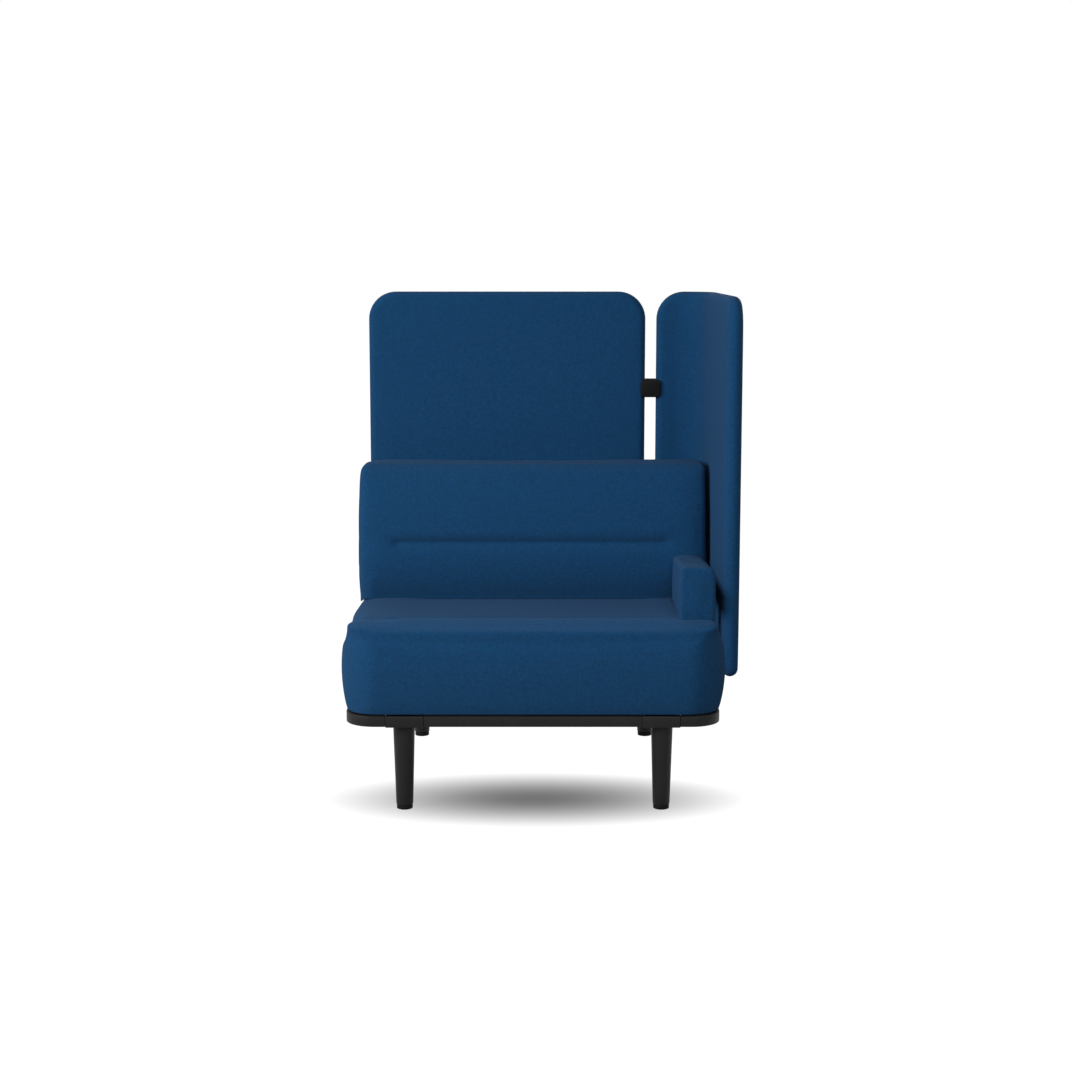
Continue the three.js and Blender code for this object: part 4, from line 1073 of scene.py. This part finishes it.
def moulded_nylon(tree, at):
    """Injection-moulded nylon: black glass-filled plastic from a spark-eroded mould, matt and
    finely grained."""
    grain = add_node(tree, "TexNoise", {"Vector": at, "Scale": 1 / (0.9 * MM), "Detail": 2.0})
    flow = add_node(tree, "TexNoise", {"Vector": at, "Scale": 1 / (18 * MM), "Detail": 2.0})
    rough = add_node(tree, "MapRange", {0: flow, 1: 0.3, 2: 0.7, 3: 0.52, 4: 0.64})
    return add_node(tree, "BsdfPrincipled", {
        "Base Color": patchy(tree, flow, bpy.context.scene.lounge_colours.nylon, 0.88, 1.15),
        "Roughness": rough, "Specular IOR Level": 0.1,
        "Normal": add_node(tree, "Bump", {"Height": grain, "Distance": 0.1 * MM, "Strength": 0.5})})


def zinc_plated_steel(tree, at):
    """Zinc-plated steel: electroplated and passivated, with a cloudy satin shine."""
    cloud = add_node(tree, "TexNoise", {"Vector": at, "Scale": 1 / (6 * MM), "Detail": 4.0})
    rough = add_node(tree, "MapRange", {0: cloud, 1: 0.3, 2: 0.7, 3: 0.28, 4: 0.45})
    return add_node(tree, "BsdfPrincipled", {
        "Base Color": patchy(tree, cloud, bpy.context.scene.lounge_colours.zinc, 0.85, 1.05),
        "Roughness": rough, "Metallic": 1.0})


def birch_plywood(tree, at):
    """Birch plywood: rotary-cut veneers glued crosswise and sanded, pale, with long soft grain."""
    colours = bpy.context.scene.lounge_colours
    drawn = add_node(tree, "Mapping", {"Vector": at, "Scale": (1.0, 12.0, 12.0)})
    grain = add_node(tree, "TexNoise", {"Vector": drawn, "Scale": 1 / (30 * MM), "Detail": 5.0})
    return add_node(tree, "BsdfPrincipled", {
        "Base Color": add_node(tree, "Mix", {0: grain, 6: colours.ply_dark, 7: colours.ply}, out=2,
                               data_type="RGBA"),
        "Roughness": 0.6,
        "Normal": add_node(tree, "Bump", {"Height": grain, "Distance": 0.1 * MM, "Strength": 0.4})})


def spunbond_cloth(tree, at):
    """Spunbond dust cloth: black polypropylene threads laid at random and pressed, dull."""
    dots = add_node(tree, "TexVoronoi", {"Vector": at, "Scale": 1 / (3 * MM)})
    threads = add_node(tree, "TexNoise", {"Vector": at, "Scale": 1 / (2 * MM), "Detail": 3.0})
    return add_node(tree, "BsdfPrincipled", {
        "Base Color": patchy(tree, threads, linear(DUST_CLOTH_BLACK), 0.8, 1.2), "Roughness": 0.9,
        "Normal": add_node(tree, "Bump", {"Height": dots, "Distance": 0.3 * MM, "Strength": 0.5})})


def moulded_rubber(tree, at):
    """Moulded rubber: black compression-moulded compound, dull, with a faint dusty bloom."""
    bloom = add_node(tree, "TexNoise", {"Vector": at, "Scale": 1 / (8 * MM), "Detail": 4.0})
    return add_node(tree, "BsdfPrincipled", {
        "Base Color": patchy(tree, bloom, linear(RUBBER_BLACK), 0.85, 1.3), "Roughness": 0.85})


DUST_CLOTH_BLACK = 0x26262A
RUBBER_BLACK = 0x1A1A1C

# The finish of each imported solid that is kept, by the start of its name
KEPT_FINISHES = (
    (powder_coated_steel, ("cross_rail", "back_upright", "arm_upright")),
    (zinc_plated_steel, ("leg_bolt", "back_screen_bolt", "side_screen_bolt", "clip_screw")),
    (birch_plywood, (
        "seat_board", "back_board", "arm_board", "back_screen_core", "corner_screen_core")),
    (spunbond_cloth, ("seat_dust_cloth",)),
    (moulded_rubber, ("seat_spacer",)),
)


class LOUNGE_OT_kept_pieces(bpy.types.Operator):
    """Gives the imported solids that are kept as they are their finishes"""
    bl_idname = "lounge.kept_pieces"
    bl_label = "Kept pieces' finishes"

    def execute(self, context):
        for name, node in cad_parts.items():
            if node.hide_render:
                continue
            found = [make for make, starts in KEPT_FINISHES if name.startswith(starts)]
            if not found:
                raise RuntimeError(f"no finish is named for {name}")
            wear(node, found[0])
        return {"FINISHED"}


# Stage

class LOUNGE_OT_stage(bpy.types.Operator):
    """Makes the floor, the lamps and the camera"""
    bl_idname = "lounge.stage"
    bl_label = "Stage"

    def execute(self, context):
        stage = context.scene.lounge_stage
        floor = begin("floor", bpy.ops.mesh.primitive_plane_add, size=FLOOR_SIZE,
                      location=(0, 0, 0))
        wear(floor, painted_floor)

        key = lamp("key_lamp", KEY_PLACE, KEY_AIM, stage.key)
        key.light_linking.blocker_collection = linked_to(
            "key_passes", ("seat_cushion", "armrest"), "EXCLUDE")
        lamp("front_lamp", FRONT_PLACE, FRONT_AIM, stage.front)
        rear = lamp("rear_lamp", REAR_PLACE, REAR_AIM, stage.rear)
        rear.light_linking.receiver_collection = linked_to("rear_lights", OUTSIDE_PIECES, "INCLUDE")
        high = lamp("high_lamp", HIGH_PLACE, HIGH_AIM, stage.high)
        high.data.shape = "RECTANGLE"
        high.data.size_y = HIGH_LAMP_DEPTH
        high.light_linking.receiver_collection = linked_to(
            "high_lights", ("seat_cushion",), "INCLUDE")

        world = bpy.data.worlds.new("studio")
        context.scene.world = world
        world.use_nodes = True
        tree = world.node_tree
        tree.nodes.clear()
        sky = {0: seen_directly(tree), 1: 0.0, 2: 1.0, 3: stage.sky, 4: 1.0}
        strength = add_node(tree, "MapRange", sky)
        light = add_node(tree, "Background", {"Color": (1.0, 1.0, 1.0), "Strength": strength})
        add_node(tree, "OutputWorld", {"Surface": light})

        camera = bpy.data.cameras.new("camera")
        camera.lens = stage.lens
        camera.sensor_width = SENSOR_WIDTH
        holder = bpy.data.objects.new("camera", camera)
        context.scene.collection.objects.link(holder)
        holder.location = (stage.camera_x, stage.camera_y, stage.camera_z)
        holder.rotation_euler = (math.pi / 2 - stage.tilt, 0, 0)
        context.scene.camera = holder
        context.scene.view_settings.view_transform = "Standard"
        return {"FINISHED"}


SENSOR_WIDTH = 36  # millimetres

# Where each lamp stands and what it is aimed at
KEY_PLACE, KEY_AIM = (-3.9, -2.2, 2.2), (0, 0, 0.6)
FRONT_PLACE, FRONT_AIM = (0.3, -3.2, 2.3), (0, 0, 0.4)
REAR_PLACE, REAR_AIM = (2.2, 3.6, 1.5), (0, 0, 0.7)
HIGH_PLACE, HIGH_AIM = (-0.2, 2.44, 3.34), (-0.1, -0.4, 0.45)
LAMP_SIZE = 2.0
HIGH_LAMP_DEPTH = 0.3

# What the rear lamp lights: the outside of the screens, with what holds them
OUTSIDE_PIECES = (
    "back_screen", "corner_screen", "clip_rear_plate", "rail_rear_tube",
    "back_screen_bracket_left_plate", "back_screen_bracket_right_plate",
    "side_screen_bracket_front_plate", "side_screen_bracket_rear_plate",
)


def linked_to(name, pieces, state):
    """A collection that tells a lamp which pieces it includes or leaves out."""
    made = bpy.data.collections.new(name)
    for piece in pieces:
        made.objects.link(bpy.data.objects[piece])
    for member in made.collection_objects:
        member.light_linking.link_state = state
    return made


def lamp(name, place, aim, power):
    """A soft lamp, square to begin with, that points from its place to its aim."""
    light = bpy.data.lights.new(name, "AREA")
    light.size = LAMP_SIZE
    light.energy = power
    holder = bpy.data.objects.new(name, light)
    bpy.context.scene.collection.objects.link(holder)
    holder.location = place
    holder.rotation_euler = (Vector(aim) - Vector(place)).to_track_quat("-Z", "Y").to_euler()
    return holder


def seen_directly(tree):
    """1 for what is seen directly, in gloss or through glass, and 0 for light on the object."""
    paths = add_node(tree, "LightPath").node.outputs
    seen = add_node(tree, "Math", {0: paths["Is Camera Ray"], 1: paths["Is Glossy Ray"]},
                    operation="MAXIMUM")
    return add_node(tree, "Math", {0: seen, 1: paths["Is Transmission Ray"]}, operation="MAXIMUM")


def painted_floor(tree, at):
    """Painted studio floor: rolled matt white, lit evenly, with a pool of shade drawn in it."""
    lit = add_node(tree, "BsdfDiffuse", {"Color": linear(FLOOR_PAINT)})
    from_shade = add_node(tree, "VectorMath", {0: at, 1: SHADE_MIDDLE}, operation="SUBTRACT")
    shares = add_node(tree, "VectorMath", {0: from_shade, 1: SHADE_HALF}, operation="DIVIDE")
    squared = add_node(tree, "VectorMath", {0: shares, 1: shares}, out="Value",
                       operation="DOT_PRODUCT")
    depth = add_node(tree, "Math", {0: 1.0, 1: squared}, operation="SUBTRACT", use_clamp=True)
    soft = add_node(tree, "Math", {0: depth, 1: SHADE_SOFTNESS}, operation="POWER")
    bright = add_node(tree, "Math", {0: soft, 1: -SHADE_DEPTH, 2: FLOOR_WHITE},
                      operation="MULTIPLY_ADD")
    glow = add_node(tree, "Emission", {"Color": (1.0, 1.0, 1.0), "Strength": bright})
    seen = {0: seen_directly(tree), 1: 0.0, 2: 1.0, 3: 0.0, 4: FLOOR_GLOW}
    share = add_node(tree, "MapRange", seen)
    return add_node(tree, "MixShader", {0: share, 1: lit, 2: glow})


FLOOR_SIZE = 40
FLOOR_PAINT = 0x909090
FLOOR_WHITE = 1.15
FLOOR_GLOW = 0.9  # share of the seen floor that is the studio's even white and the shade
SHADE_MIDDLE = (-0.014, -0.304, 0.0)
SHADE_HALF = (0.540, 0.25, 1.0)  # half the size of the pool of shade
SHADE_SOFTNESS = 1.25
SHADE_DEPTH = 0.97


class LOUNGE_PT_lounge(bpy.types.Panel):
    """Lists the steps and their sizes"""
    bl_idname = "LOUNGE_PT_lounge"
    bl_label = "Lounge seat"
    bl_space_type = "VIEW_3D"
    bl_region_type = "UI"
    bl_category = "Lounge"

    def draw(self, context):
        scene = context.scene
        for heading, name in GROUPS.items():
            group = getattr(scene, name)
            box = self.layout.box()
            box.label(text=heading)
            for key in group.bl_rna.properties.keys():
                if key not in ("rna_type", "name"):
                    box.prop(group, key)
        for step in STEPS:
            self.layout.operator(step.bl_idname)


GROUPS = {
    "Cushions": "lounge_cushions", "Screens": "lounge_screens", "Frame": "lounge_frame",
    "Colours": "lounge_colours", "Stage": "lounge_stage",
}
GROUP_CLASSES = (LoungeCushions, LoungeScreens, LoungeFrame, LoungeColours, LoungeStage)
STEPS = (
    LOUNGE_OT_seat, LOUNGE_OT_back, LOUNGE_OT_arm, LOUNGE_OT_back_screen, LOUNGE_OT_corner_screen,
    LOUNGE_OT_rim, LOUNGE_OT_legs, LOUNGE_OT_screen_brackets, LOUNGE_OT_clip, LOUNGE_OT_kept_pieces,
    LOUNGE_OT_stage,
)


def register():
    for group, name in zip(GROUP_CLASSES, GROUPS.values()):
        bpy.utils.register_class(group)
        setattr(bpy.types.Scene, name, bpy.props.PointerProperty(type=group))
    for step in (*STEPS, LOUNGE_PT_lounge):
        bpy.utils.register_class(step)


def unregister():
    for step in reversed((*STEPS, LOUNGE_PT_lounge)):
        bpy.utils.unregister_class(step)
    for group, name in zip(reversed(GROUP_CLASSES), reversed(list(GROUPS.values()))):
        delattr(bpy.types.Scene, name)
        bpy.utils.unregister_class(group)


def main():
    register()
    for step in STEPS:
        getattr(bpy.ops.lounge, step.bl_idname.split(".")[1])()


if __name__ == "__main__":
    main()
